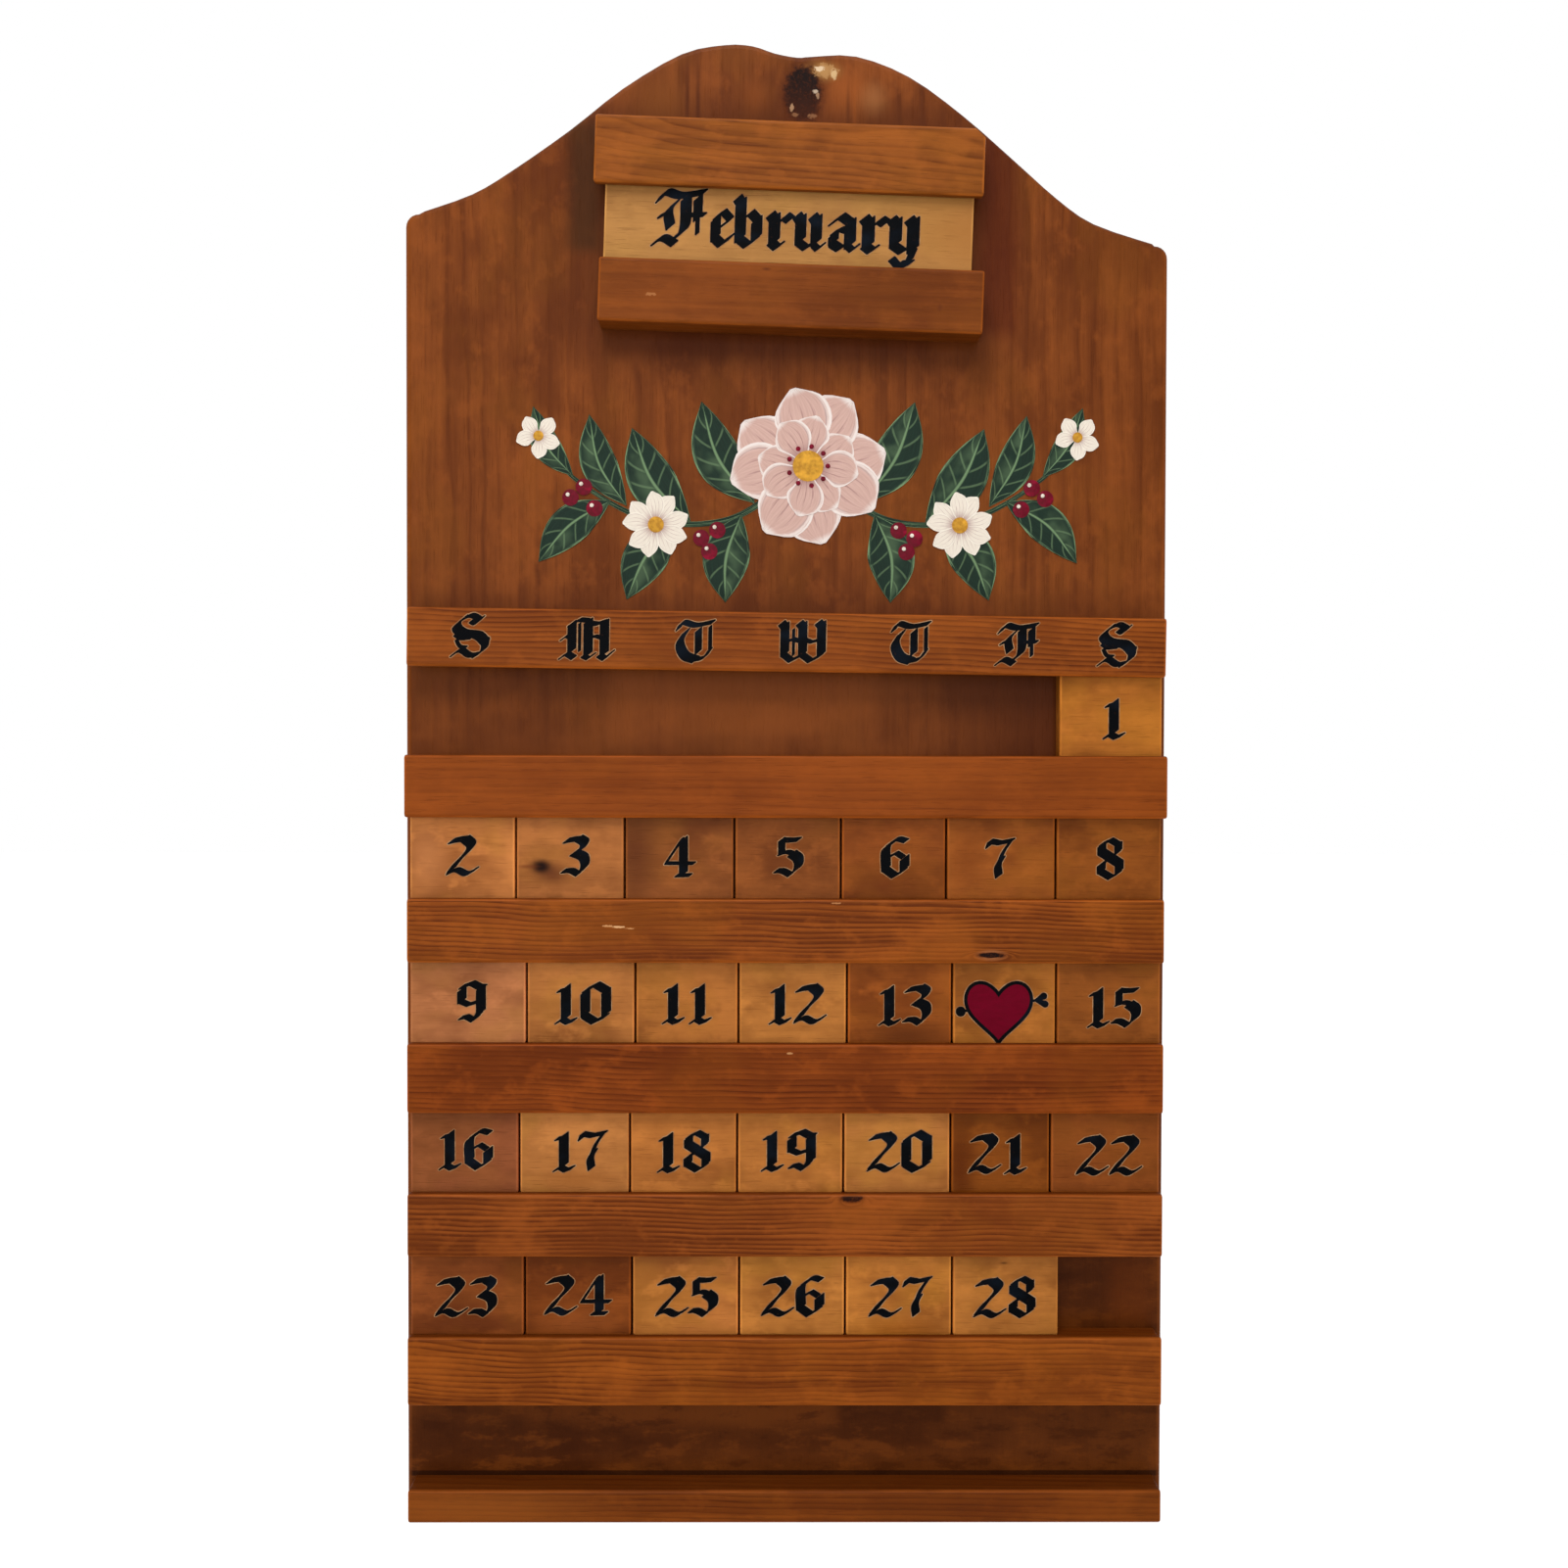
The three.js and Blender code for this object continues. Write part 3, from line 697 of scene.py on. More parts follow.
# The width of each letter, then its strokes: straight or curved, its share of the pen's width, and its
# points across and up, all but the share in hundredths of a capital's height
pen_strokes = {
    "0": (
        66, (straight, 1, (11, 76), (11, 24)), (straight, 1, (55, 78), (55, 26)),
        (straight, 0.8, (12, 80), (35, 93), (55, 80)), (straight, 0.8, (11, 20), (30, 7), (54, 20))),
    "1": (
        52, (straight, 1, (27, 86), (27, 16)), (straight, 0.5, (13, 78), (27, 82)),
        (straight, 0.6, (10, 6), (20, 12), (31, 5), (45, 11))),
    "2": (
        66, (curved, 0.8, (11, 82), (26, 86), (42, 88)),
        (curved, 1, (40, 88), (52, 74), (42, 56), (24, 36), (10, 16)),
        (curved, 0.62, (5, 9), (22, 16), (42, 7), (62, 18))),
    "3": (
        60, (curved, 0.75, (10, 84), (22, 87), (36, 89)),
        (curved, 0.95, (36, 90), (48, 80), (40, 64), (26, 56)),
        (curved, 0.95, (28, 56), (46, 46), (48, 26), (36, 10)),
        (curved, 0.62, (4, 14), (20, 15), (34, 7))),
    "4": (
        70, (straight, 0.9, (44, 90), (44, 10)), (straight, 0.28, (8, 36), (42, 92)),
        (straight, 0.4, (8, 34.5), (66, 34.5)), (straight, 0.45, (30, 6), (58, 7))),
    "5": (
        60, (straight, 0.7, (14, 88), (14, 58)), (straight, 0.62, (14, 88), (32, 87), (50, 89)),
        (curved, 0.5, (10, 55), (26, 60), (40, 55)), (curved, 1, (36, 56), (49, 44), (48, 24), (34, 10)),
        (curved, 0.62, (3, 16), (16, 16), (32, 7))),
    "6": (
        64, (curved, 1, (30, 86), (12, 70), (12, 24)), (curved, 0.6, (18, 80), (36, 92), (54, 88)),
        (straight, 0.75, (11, 22), (30, 7), (50, 20)), (straight, 0.5, (14, 48), (34, 60), (48, 50)),
        (straight, 1, (51, 48), (51, 24))),
    "7": (
        60, (straight, 0.62, (6, 78), (10, 90), (30, 86), (56, 92)),
        (curved, 0.4, (54, 92), (38, 66), (29, 42)), (curved, 0.75, (34, 50), (26, 32), (28, 10))),
    "8": (
        64, (straight, 0.9, (13, 82), (13, 66), (50, 40), (50, 22)),
        (straight, 0.6, (13, 84), (32, 94), (48, 84)), (straight, 0.8, (48, 84), (48, 68)),
        (straight, 0.5, (48, 66), (14, 36)), (straight, 0.9, (12, 38), (12, 22)),
        (straight, 0.66, (12, 20), (32, 7), (49, 18))),
    "9": (
        66, (straight, 0.95, (12, 78), (12, 52)), (straight, 0.7, (12, 84), (34, 93), (50, 84)),
        (straight, 0.55, (11, 50), (26, 43), (46, 50)), (straight, 1, (52, 82), (52, 26)),
        (straight, 0.6, (10, 12), (22, 15), (36, 7), (50, 22)), (straight, 0.8, (50, 30), (42, 12)),
        (straight, 0.5, (50, 86), (60, 86))),
    "S": (
        90, (curved, 0.6, (70, 92), (56, 80), (46, 84)), (curved, 0.6, (66, 88), (46, 97), (26, 88)),
        (curved, 1, (28, 90), (12, 72), (26, 57), (60, 52), (78, 36)),
        (curved, 0.45, (10, 52), (24, 44), (46, 46)), (curved, 0.9, (78, 40), (74, 20), (56, 6)),
        (curved, 0.62, (4, 6), (22, 17), (42, 6), (58, 8)), (curved, 0.3, (12, 40), (20, 26), (34, 24))),
    "M": (
        112, (straight, 0.9, (24, 84), (24, 22)), (straight, 0.95, (58, 90), (58, 14)),
        (straight, 0.95, (92, 88), (92, 16)), (straight, 0.55, (20, 80), (40, 93), (56, 92)),
        (straight, 0.55, (60, 86), (76, 84), (92, 90)), (straight, 0.6, (2, 6), (14, 15), (28, 6)),
        (straight, 0.5, (48, 10), (58, 5), (70, 14)), (straight, 0.6, (82, 12), (93, 5), (108, 20)),
        (straight, 0.5, (4, 48), (14, 56), (26, 50)), (straight, 0.35, (58, 52), (74, 56), (92, 50)),
        (straight, 0.22, (40, 84), (40, 22))),
    "T": (
        90, (curved, 0.62, (4, 78), (16, 93), (46, 87), (86, 95)),
        (curved, 1, (22, 72), (8, 46), (20, 18), (46, 8)), (curved, 0.55, (44, 8), (66, 14), (80, 32)),
        (straight, 0.8, (52, 76), (52, 26)), (straight, 0.35, (80, 84), (80, 30))),
    "W": (
        112, (curved, 0.95, (14, 88), (14, 22)), (curved, 0.95, (53, 90), (53, 22)),
        (curved, 0.95, (94, 92), (94, 22)), (straight, 0.62, (12, 20), (28, 7), (51, 20)),
        (straight, 0.62, (53, 20), (70, 7), (93, 20)), (straight, 0.8, (7, 92), (16, 80)),
        (straight, 0.8, (46, 93), (55, 82)), (straight, 0.8, (87, 95), (96, 84)),
        (straight, 0.22, (33, 78), (33, 20)), (straight, 0.4, (16, 50), (34, 56), (50, 50)),
        (straight, 0.4, (56, 56), (72, 50), (92, 56))),
    "F": (
        95, (curved, 0.66, (8, 78), (22, 92), (48, 87), (90, 94)),
        (curved, 1, (58, 84), (56, 32), (34, 12)), (curved, 0.66, (2, 5), (18, 14), (38, 5)),
        (curved, 0.8, (38, 74), (26, 58), (30, 34)), (straight, 0.4, (10, 50), (26, 58)),
        (straight, 0.8, (80, 84), (80, 50)), (straight, 0.4, (62, 54), (92, 56)),
        (straight, 0.3, (80, 50), (80, 24))),
    "e": (
        50, (straight, 1, (14, 50), (14, 18)), (straight, 0.62, (14, 52), (30, 62), (44, 50)),
        (straight, 0.42, (44, 50), (18, 32)), (straight, 0.75, (14, 16), (26, 7), (46, 20))),
    "b": (
        54, (straight, 1, (13, 80), (13, 18)), (straight, 0.8, (7, 86), (14, 76)),
        (straight, 0.7, (14, 48), (32, 62), (43, 52)), (straight, 1, (43, 50), (43, 20)),
        (straight, 0.7, (13, 16), (26, 7), (42, 18))),
    "r": (
        46, (straight, 1, (15, 56), (15, 14)), (straight, 0.8, (8, 60), (16, 50)),
        (straight, 0.8, (26, 50), (34, 58), (42, 53)), (straight, 0.7, (10, 13), (20, 5), (27, 10))),
    "u": (
        56, (straight, 1, (14, 56), (14, 18)), (straight, 1, (43, 56), (43, 16)),
        (straight, 0.8, (7, 60), (15, 50)), (straight, 0.8, (36, 60), (44, 50)),
        (straight, 0.6, (12, 14), (24, 6), (40, 16)), (straight, 0.5, (40, 10), (46, 5), (56, 12))),
    "a": (
        54, (straight, 1, (42, 52), (42, 14)), (straight, 0.7, (10, 50), (26, 62), (42, 52)),
        (straight, 0.9, (13, 30), (13, 18)), (straight, 0.5, (12, 32), (26, 40), (40, 36)),
        (straight, 0.7, (12, 14), (24, 7), (40, 18)), (straight, 0.5, (40, 10), (46, 5), (55, 12))),
    "y": (
        54, (straight, 1, (13, 56), (13, 18)), (straight, 1, (42, 58), (42, 10)),
        (straight, 0.8, (6, 60), (14, 50)), (straight, 0.8, (35, 61), (43, 51)),
        (straight, 0.65, (12, 14), (24, 6), (40, 16)), (curved, 0.7, (42, 6), (34, -12), (20, -16)),
        (curved, 0.5, (8, -8), (22, -20), (40, -12))),
}

# Each number's middle from the middle of its tile, across and up, in millimetres
number_shifts = (
    (0.9, -2.6), (0, -0.9), (2.2, -1.0), (-0.1, -1.3), (0.6, -1.1), (0.7, -1.4), (-0.5, -1.8), (0.6, -1.9),
    (1.5, -1.7), (0.5, -2.2), (-0.3, -2.1), (1.3, -2.2), (1.7, -2.6), (0, 0), (1.6, -3.3), (0.5, -0.9),
    (1.6, -1.6), (0.2, -1.8), (-0.7, -1.3), (1.1, -1.7), (-0.9, -2.3), (1.3, -2.9), (-0.2, -2.7), (0, -2.1),
    (0.6, -2.6), (0.6, -2.5), (0.6, -2.8), (0.1, -3.0))

# Each weekday letter with its middle across, up, and its width, in millimetres
weekday_letters = (
    ("S", -115.8, 53.2, 14.6), ("M", -73.2, 52.3, 19.6), ("T", -33.5, 51.4, 13.9), ("W", 6.4, 51.3, 18.8),
    ("T", 45.7, 51.1, 14.1), ("F", 84.9, 50.7, 15.2), ("S", 121.9, 50.4, 14.7))

# Each letter of the month's name with its left and right ends, in millimetres
month_letters = (
    ("F", -49.6, -30.6), ("e", -29.4, -20.4), ("b", -20.4, -9.6), ("r", -8.4, 1.2), ("u", 1.6, 12.8),
    ("a", 13.9, 25.2), ("r", 26.0, 36.4), ("y", 36.6, 48.6))

# Where the letters of the month's name stand, before they are turned
month_foot = 0.1955
millimetre = 0.001

# The width that a digit's own width is a share of, as a share of its height, and the gap between two
# digits as a share of that width
number_width_share = 1.1
number_gap_share = 0.05

# How thick the primer and the heart's red are, as shares of the paint's thickness
primer_share = 0.4
red_share = 1.6


def smooth_path(points, steps=7):
    """A soft line through the points, each with any number of values."""
    if len(points) < 3:
        return [Vector(p) for p in points]
    spots = [Vector(p) for p in points]
    spots = [spots[0] * 2 - spots[1], *spots, spots[-1] * 2 - spots[-2]]
    path = []
    for a, b, c, d in zip(spots, spots[1:], spots[2:], spots[3:]):
        for k in range(steps):
            t = k / steps
            path.append((b * 2 + (c - a) * t + (a * 2 - b * 5 + c * 4 - d) * t * t
                         + (b * 3 - a - c * 3 + d) * t ** 3) / 2)
    return path + [spots[-2]]


def hull(points):
    """The outline round some points."""
    points = sorted({(round(p[0], corner_digits), round(p[1], corner_digits)) for p in points})

    def half(ordered):
        kept = []
        for p in ordered:
            while len(kept) > 1:
                (ax, ay), (bx, by) = kept[-2:]
                if (bx - ax) * (p[1] - ay) - (by - ay) * (p[0] - ax) > 0:
                    break
                kept.pop()
            kept.append(p)
        return kept[:-1]
    return half(points) + half(points[::-1])


def towards(turn):
    """A step of one in that direction, in the plane of the calendar's front."""
    return Vector((math.cos(turn), math.sin(turn)))


def square_to(run):
    """The same step, turned a quarter to the left."""
    return Vector((-run.y, run.x))


def letter_width(letter):
    """The width of a letter, as a share of a capital's height."""
    return pen_strokes[letter][0] / 100


def pen_marks(letter, spread):
    """What a broad pen held at one angle covers along each stroke of a letter."""
    marks = []
    for bend, share, *points in pen_strokes[letter][1:]:
        path = [Vector((across / 100, up / 100)) for across, up in points]
        if bend:
            path = smooth_path(path)
        nib = towards(nib_turn) * nib_share * share / 2
        for start, stop in zip(path, path[1:]):
            corners = []
            for corner in (start - nib, start + nib, stop - nib, stop + nib):
                for k in range(corner_steps):
                    step = towards(math.tau * (k + 0.5) / corner_steps)
                    corners.append(corner + step * (hair_share + spread))
            marks.append(hull(corners))
    return marks


def flat_shape(name, outlines, front):
    """One flat shape, facing the viewer, of all that the outlines cover together."""
    spots = []
    faces = []
    for outline in outlines:
        faces.append(list(range(len(spots), len(spots) + len(outline))))
        spots += [Vector(p) for p in outline]
    made = delaunay_2d_cdt(spots, [], faces, 0, corner_gap)
    corners, pieces, sources = made[0], made[2], made[5]
    covered = [piece for piece, source in zip(pieces, sources) if source]
    mesh = bpy.data.meshes.new(name)
    mesh.from_pydata([(p.x, front, p.y) for p in corners], [], covered)
    shape = bpy.data.objects.new(name, mesh)
    bpy.context.scene.collection.objects.link(shape)
    return shape


def take(shape):
    """Makes a shape the only selected one."""
    deselect()
    shape.select_set(True)
    bpy.context.view_layer.objects.active = shape


def thicken(shape, thickness):
    """Gives a flat shape the thickness of paint, towards the viewer."""
    take(shape)
    solid = shape.modifiers.new("paint", "SOLIDIFY")
    solid.thickness = thickness
    solid.offset = 1
    bpy.ops.object.modifier_apply(modifier=solid.name)


def join_faces(shape):
    """Joins a flat shape's small faces."""
    take(shape)
    bpy.ops.object.mode_set(mode="EDIT")
    bpy.ops.mesh.select_all(action="SELECT")
    bpy.ops.mesh.delete_loose()
    bpy.ops.mesh.select_all(action="SELECT")
    bpy.ops.mesh.dissolve_limited(angle_limit=math.radians(1))
    bpy.ops.object.mode_set(mode="OBJECT")


def join_shapes(shapes, name):
    """Joins shapes into the first of them."""
    deselect()
    for shape in shapes:
        shape.select_set(True)
    bpy.context.view_layer.objects.active = shapes[0]
    if len(shapes) > 1:
        bpy.ops.object.join()
    shapes[0].name = name
    return shapes[0]


def placed_marks(letters, height, spread):
    """The pen marks of letters, each given with its left end, its right end and its foot."""
    outlines = []
    for letter, left, right, foot in letters:
        wide = (right - left) / letter_width(letter)
        for mark in pen_marks(letter, spread / height):
            outlines.append([(left + p[0] * wide, foot + p[1] * height) for p in mark])
    return outlines


def painted(name, layers, front, body, turn=0, pivot=(0, 0, 0)):
    """Layers of paint on a front, each of outlines, a thickness and a material, joined as one piece."""
    shapes = []
    for outlines, thickness, material in layers:
        shape = flat_shape(name, outlines, front)
        join_faces(shape)
        thicken(shape, thickness)
        shape.data.materials.append(material)
        shapes.append(shape)
    piece = join_shapes(shapes, name)
    there = Matrix.Translation(pivot)
    back = Matrix.Translation(-Vector(pivot))
    piece.data.transform(there @ Matrix.Rotation(turn, 4, "Y") @ back)
    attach(piece, body)


def lettering(name, letters, height, front, body, turn=0, pivot=(0, 0, 0)):
    sizes = bpy.context.scene.calendar_sizes
    thick = sizes.paint_thickness
    layers = (
        (placed_marks(letters, height, sizes.primer_edge), thick * primer_share, primer_paint()),
        (placed_marks(letters, height, 0), thick, black_paint()))
    painted(name, layers, front, body, turn, pivot)


def kept_material(name, make):
    """A material that several pieces share, made once."""
    return bpy.data.materials.get(name) or make(name)


def black_paint():
    def make(name):
        finish = Finish(name, specular_ior_level=0.02)
        place = finish.local()
        brushed = finish.noise(place, (900, 300, 300), 3, 3, 0.6)
        sheen = finish.noise(place, (70, 70, 110), 8, 2).rise(0.48, 0.75)
        worn = finish.noise(place, 900, 12, 2).rise(0.66, 0.8)
        finish.tint = finish.mix(brushed * 0.6, stained("paint"), stained("paint", 2))
        finish.lay(sheen * 0.5, shade("121b26"))
        finish.lay(worn * 0.25, shade("4a2a18"))
        finish.bump(brushed, distance=0.00012, strength=0.6)
        return finish.surface(brushed * 0.25 + 0.3)
    return kept_material("black_lettering_paint", make)


def primer_paint():
    def make(name):
        finish = Finish(name, specular_ior_level=0.06)
        place = finish.local()
        chalky = finish.noise(place, 600, 5, 3, 0.6)
        uneven = finish.noise(place, 260, 9, 2).rise(0.35, 0.6)
        finish.tint = finish.mix(chalky, stained("primer", 0.6), stained("primer"))
        finish.lay(uneven * 0.45 + 0.3, shade("84502a"))
        finish.bump(chalky, distance=0.0001, strength=0.5)
        return finish.surface(chalky * 0.2 + 0.5)
    return kept_material("primer_edge", make)


def paint_numbers(context):
    height = context.scene.calendar_sizes.number_height
    wide = height * number_width_share
    space = wide * number_gap_share
    for day, (across, up) in enumerate(number_shifts, 1):
        if day == heart_day:
            continue
        middle, size = box_middle(tile_name(day))
        digits = str(day)
        widths = [letter_width(d) * wide for d in digits]
        left = middle.x + across * millimetre - (sum(widths) + space * (len(digits) - 1)) / 2
        foot = middle.z + up * millimetre - height / 2
        letters = []
        for digit, width in zip(digits, widths):
            letters.append((digit, left, left + width, foot))
            left += width + space
        front = middle.y - size.y / 2
        lettering("number_%02d" % day, letters, height, front, tile_name(day))


def paint_weekdays(context):
    height = context.scene.calendar_sizes.letter_height
    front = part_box("weekday_rail")[0].y
    back = Matrix.Rotation(-weekday_turn, 3, "Y")
    letters = []
    for letter, across, up, width in weekday_letters:
        level = back @ (Vector((across, 0, up)) * millimetre - weekday_pivot) + weekday_pivot
        half = width * millimetre / 2
        letters.append((letter, level.x - half, level.x + half, level.z - height / 2))
    lettering("weekday_letters", letters, height, front, "root", weekday_turn, weekday_pivot)


def paint_month(context):
    height = context.scene.calendar_sizes.name_height
    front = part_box("month_plate")[0].y
    letters = []
    for letter, left, right in month_letters:
        letters.append((letter, left * millimetre, right * millimetre, month_foot))
    lettering("month_name", letters, height, front, "month_plate", month_turn, month_pivot)


# The heart's middle from its tile's, its width and height, and the width of its black rim
heart_shift = (-0.0021, -0.0054)
heart_size = (0.0232, 0.0208)
heart_rim = 0.0013
heart_corners = 72

# The arrow through the heart: its ball and tail from the heart's middle and the radius of the ball, then
# half the shaft's width, the tips of its two feathers from the tail, and half a feather's width at its tip
ball_shift = (-0.0141, 0.0002)
tail_shift = (0.0138, 0.0044)
ball_radius = 0.0019
shaft_radius = 0.0005
feather_runs = ((0.0030, 0.0016), (0.0035, -0.0014))
feather_radius = 0.0013


def heart_outline(across, up):
    """A heart drawn with sines, its sides a little hollow."""
    width, height = heart_size
    spots = []
    for k in range(heart_corners):
        turn = -math.tau * k / heart_corners
        x = math.copysign(abs(math.sin(turn)) ** 2.25, math.sin(turn)) / 2
        z = 13 * math.cos(turn) - 5 * math.cos(2 * turn) - 2 * math.cos(3 * turn) - math.cos(4 * turn)
        spots.append((across + x * width, up + (z + 2.5) / 29 * height))
    return spots


def disc_outline(across, up, radius, corners=20):
    turns = [math.tau * k / corners for k in range(corners)]
    return [(across + math.cos(turn) * radius, up + math.sin(turn) * radius) for turn in turns]


def stroke_outline(start, stop, first, last):
    """A straight brush mark with round ends of two sizes."""
    return hull(disc_outline(*start, first) + disc_outline(*stop, last))


def red_paint():
    finish = Finish("crimson_paint", specular_ior_level=0.03)
    place = finish.local()
    brushed = finish.noise(place, (240, 240, 700), 3, 3, 0.6)
    layer = finish.noise(place, 90, 8, 2)
    finish.tint = finish.mix(brushed, stained("red", 0.55), stained("red", 1.1))
    finish.lay(layer.rise(0.35, 0.7) * 0.4, shade("6d0620"))
    finish.bump(brushed, distance=0.00015, strength=0.6)
    return finish.surface(brushed * 0.2 + 0.35)


def paint_heart(context):
    sizes = context.scene.calendar_sizes
    middle, size = box_middle("tile_heart")
    across = middle.x + heart_shift[0]
    up = middle.z + heart_shift[1]
    outline = heart_outline(across, up)
    ball = (across + ball_shift[0], up + ball_shift[1])
    tail = (across + tail_shift[0], up + tail_shift[1])

    def lines(grow):
        """The rim of the heart and the arrow, grown on all sides."""
        rim = heart_rim + grow
        shaft = shaft_radius + grow
        marks = [stroke_outline(a, b, rim, rim) for a, b in zip(outline, outline[1:] + outline[:1])]
        marks += [disc_outline(*ball, ball_radius + grow), stroke_outline(ball, tail, shaft, shaft)]
        for run, lift in feather_runs:
            tip = (tail[0] + run, tail[1] + lift)
            marks.append(stroke_outline(tail, tip, shaft, feather_radius + grow))
        return marks

    thick = sizes.paint_thickness
    layers = (
        (lines(sizes.primer_edge), thick * primer_share, primer_paint()),
        (lines(0), thick, black_paint()),
        ([outline], thick * red_share, red_paint()))
    painted("heart_with_arrow", layers, middle.y - size.y / 2, "tile_heart")


def leaf_paint():
    finish = Finish("green_leaf_paint", specular_ior_level=0.1)
    spot, along, across = finish.own_map()
    side = abs(across - 0.5) * 2
    brushed = finish.noise(spot, (5, 36, 1), 3, 3, 0.6)
    soft = finish.noise(finish.local(), 120, 6, 2)
    finish.tint = finish.mix(((brushed - 0.3) * 1.6).clear(), stained("leaf", 0.7), stained("leaf", 1.5))
    lit_half = across.rise(0.49, 0.53) * (1 - side.rise(0.2, 1)) * soft.rise(0.35, 0.65)
    finish.lay(lit_half * 0.8, finish.mix(0.35, stained("leaf"), stained("leaf_light")))
    rib = abs((along * 6 - side * 1.1).part() - 0.5) * 2
    ribs = (1 - rib.rise(0.05, 0.22)) * side.rise(0.02, 0.2) * (1 - side.rise(0.7, 0.95))
    finish.lay(ribs * 0.42, stained("leaf_light"))
    spine = (1 - side.rise(0.02, 0.09)) * (1 - along.rise(0.8, 1) * 0.8)
    finish.lay(spine * 0.7, stained("leaf_light", 1.3))
    rim = side.rise(0.84, 0.98) * brushed.rise(0.4, 0.62)
    finish.lay(rim * 0.75, stained("leaf_light", 1.5))
    finish.bump(brushed + ribs * 0.4 + spine * 0.6, distance=0.00015, strength=0.6)
    return finish.surface(brushed * 0.2 + 0.34)


def petal_paint(name, body, light, vein):
    finish = Finish(name, specular_ior_level=0.1)
    spot, along, across = finish.own_map()
    side = abs(across - 0.5) * 2
    brushed = finish.noise(spot, (3, 30, 1), 5, 3, 0.6)
    finish.tint = finish.mix(brushed, toned(body, 0.78), toned(body, 1.22))
    finish.lay((1 - along.rise(0, 0.45)) * 0.7, vein)
    ray = abs((across * 5 + (brushed - 0.5) * 0.5).part() - 0.5) * 2
    rays = (1 - ray.rise(0.04, 0.2)) * (1 - along.rise(0.55, 0.85))
    finish.lay(rays * 0.55, vein)
    rim = side.rise(0.72, 0.95).most(along.rise(0.86, 0.97)) * brushed.rise(0.25, 0.5)
    finish.lay(rim * 0.9, light)
    finish.bump(brushed + rim * 0.5, distance=0.00018, strength=0.6)
    return finish.surface(brushed * 0.2 + 0.36)


def dabbed_paint(name, body, light_share):
    """Paint put on in dabs, for round spots."""
    finish = Finish(name, specular_ior_level=0.1)
    place = finish.local()
    dabs = finish.noise(place, 700, 4, 2)
    slow = finish.noise(place, (200, 200, 260), 8, 2)
    finish.tint = finish.mix(dabs.rise(0.35, 0.65), stained(body, 0.7), stained(body))
    finish.lay(slow.rise(0.52, 0.72) * 0.6, stained(body, light_share))
    finish.bump(dabs, distance=0.0002, strength=0.7)
    return finish.surface(dabs * 0.2 + 0.32)


# How much further a layer of paint stands out than the layer under it, and the least width of a stroke
layer_step = 0.00004
hair_width = 0.00012

# How many parts a stroke's line has between two of its points, how far to each side it is looked at for its
# direction, and its faces along and across
path_steps = 12
look_share = 0.02
vine_grid = (48, 4)
leaf_grid = (26, 8)
petal_grid = (14, 6)


def layer_thickness(layer):
    """How far a layer of the garland's paint stands out from the board."""
    return bpy.context.scene.calendar_sizes.paint_thickness + layer * layer_step


def value_at(values, share):
    """The value that far along a row of values, between its neighbours."""
    spot = min(max(share, 0), 1) * (len(values) - 1)
    first = min(int(spot), len(values) - 2)
    return values[first] + (values[first + 1] - values[first]) * (spot - first)


def brush_stroke(spine, widths, layer, material, along, across):
    """A flat brush stroke on the board: a grid laid along a soft line, with a width for each place."""
    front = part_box("back_board")[0].y
    deselect()
    bpy.ops.mesh.primitive_grid_add(x_subdivisions=along, y_subdivisions=across, size=1)
    stroke = bpy.context.object
    path = smooth_path(spine, path_steps)
    spread = [v.x for v in smooth_path([(w, 0) for w in widths], path_steps)]
    for vertex in stroke.data.vertices:
        share = vertex.co.x + 0.5
        run = value_at(path, share + look_share) - value_at(path, share - look_share)
        side = vertex.co.y * max(value_at(spread, share), hair_width)
        spot = value_at(path, share) + square_to(run.normalized()) * side
        vertex.co = (spot.x, front, spot.y)
    thicken(stroke, layer_thickness(layer))
    stroke.data.materials.append(material)
    return stroke


# The garland's middle in millimetres, and how wide each kind of stroke is along its length, as shares of
# the width given for it
garland_middle = (8.0, 112.0)
leaf_width_shares = (0, 0.62, 1, 0.98, 0.62, 0)
petal_width_shares = (0.22, 0.55, 0.92, 1, 0.78, 0.1)
vine_width_shares = (1.2, 1, 0.9, 0.7, 0.3)

# Foot, tip and width of each leaf on one side of the garland, from its middle, in millimetres
garland_leaves = (
    ((20, -8), (40, 30), 17), ((25, -12), (31, -45), 17), ((44, -15), (66, 20), 17),
    ((49, -15), (68, -44), 16), ((68, -9), (82, 25), 13), ((74, -7), (101, -30), 14),
    ((88, 2), (103, 28), 10))
garland_vine = ((4, 2), (30, -14), (60, -14), (86, 0), (99, 14))
garland_daisy = (57, -16)
garland_bud = (101, 17)
garland_rose = (0, 6)
garland_berries = ((34, -18), (40, -21), (37, -26), (84, -2), (89, -6), (80, -10))

# How far a leaf bows to one side or the other, as shares of its length, and a petal, as a share of its
# reach
leaf_bow_shares = (-0.08, 0.10)
petal_bow_share = 0.06

# Each round of petals: its inner and outer reach, a petal's width, how many, their turn and lowest layer
daisy_petals = (0.0016, 0.0125, 0.0068, 9, 0.3, 7)
bud_petals = (0.0006, 0.0085, 0.0058, 5, 0.9, 7)
rose_petals = ((0.004, 0.0295, 0.0215, 8, 0.2, 7), (0.003, 0.0190, 0.0140, 8, 0.6, 11))

# The radius and the layer of each flower's middle and of the seeds round the rose's
daisy_middle = (0.0030, 11)
bud_middle = (0.0019, 11)
rose_middle = (0.0058, 15)
seed_dot = (0.0009, 16)
seed_reach = 0.0074
seed_count = 9

# The layers of the vine, the lowest leaves, the berries and their lights
vine_layer = 1
leaf_layer = 3
berry_layer = 7
light_layer = 16

# A light's place from its berry's middle and its share of the berry's radius
light_shift = (-0.0010, 0.0011)
light_share = 0.24

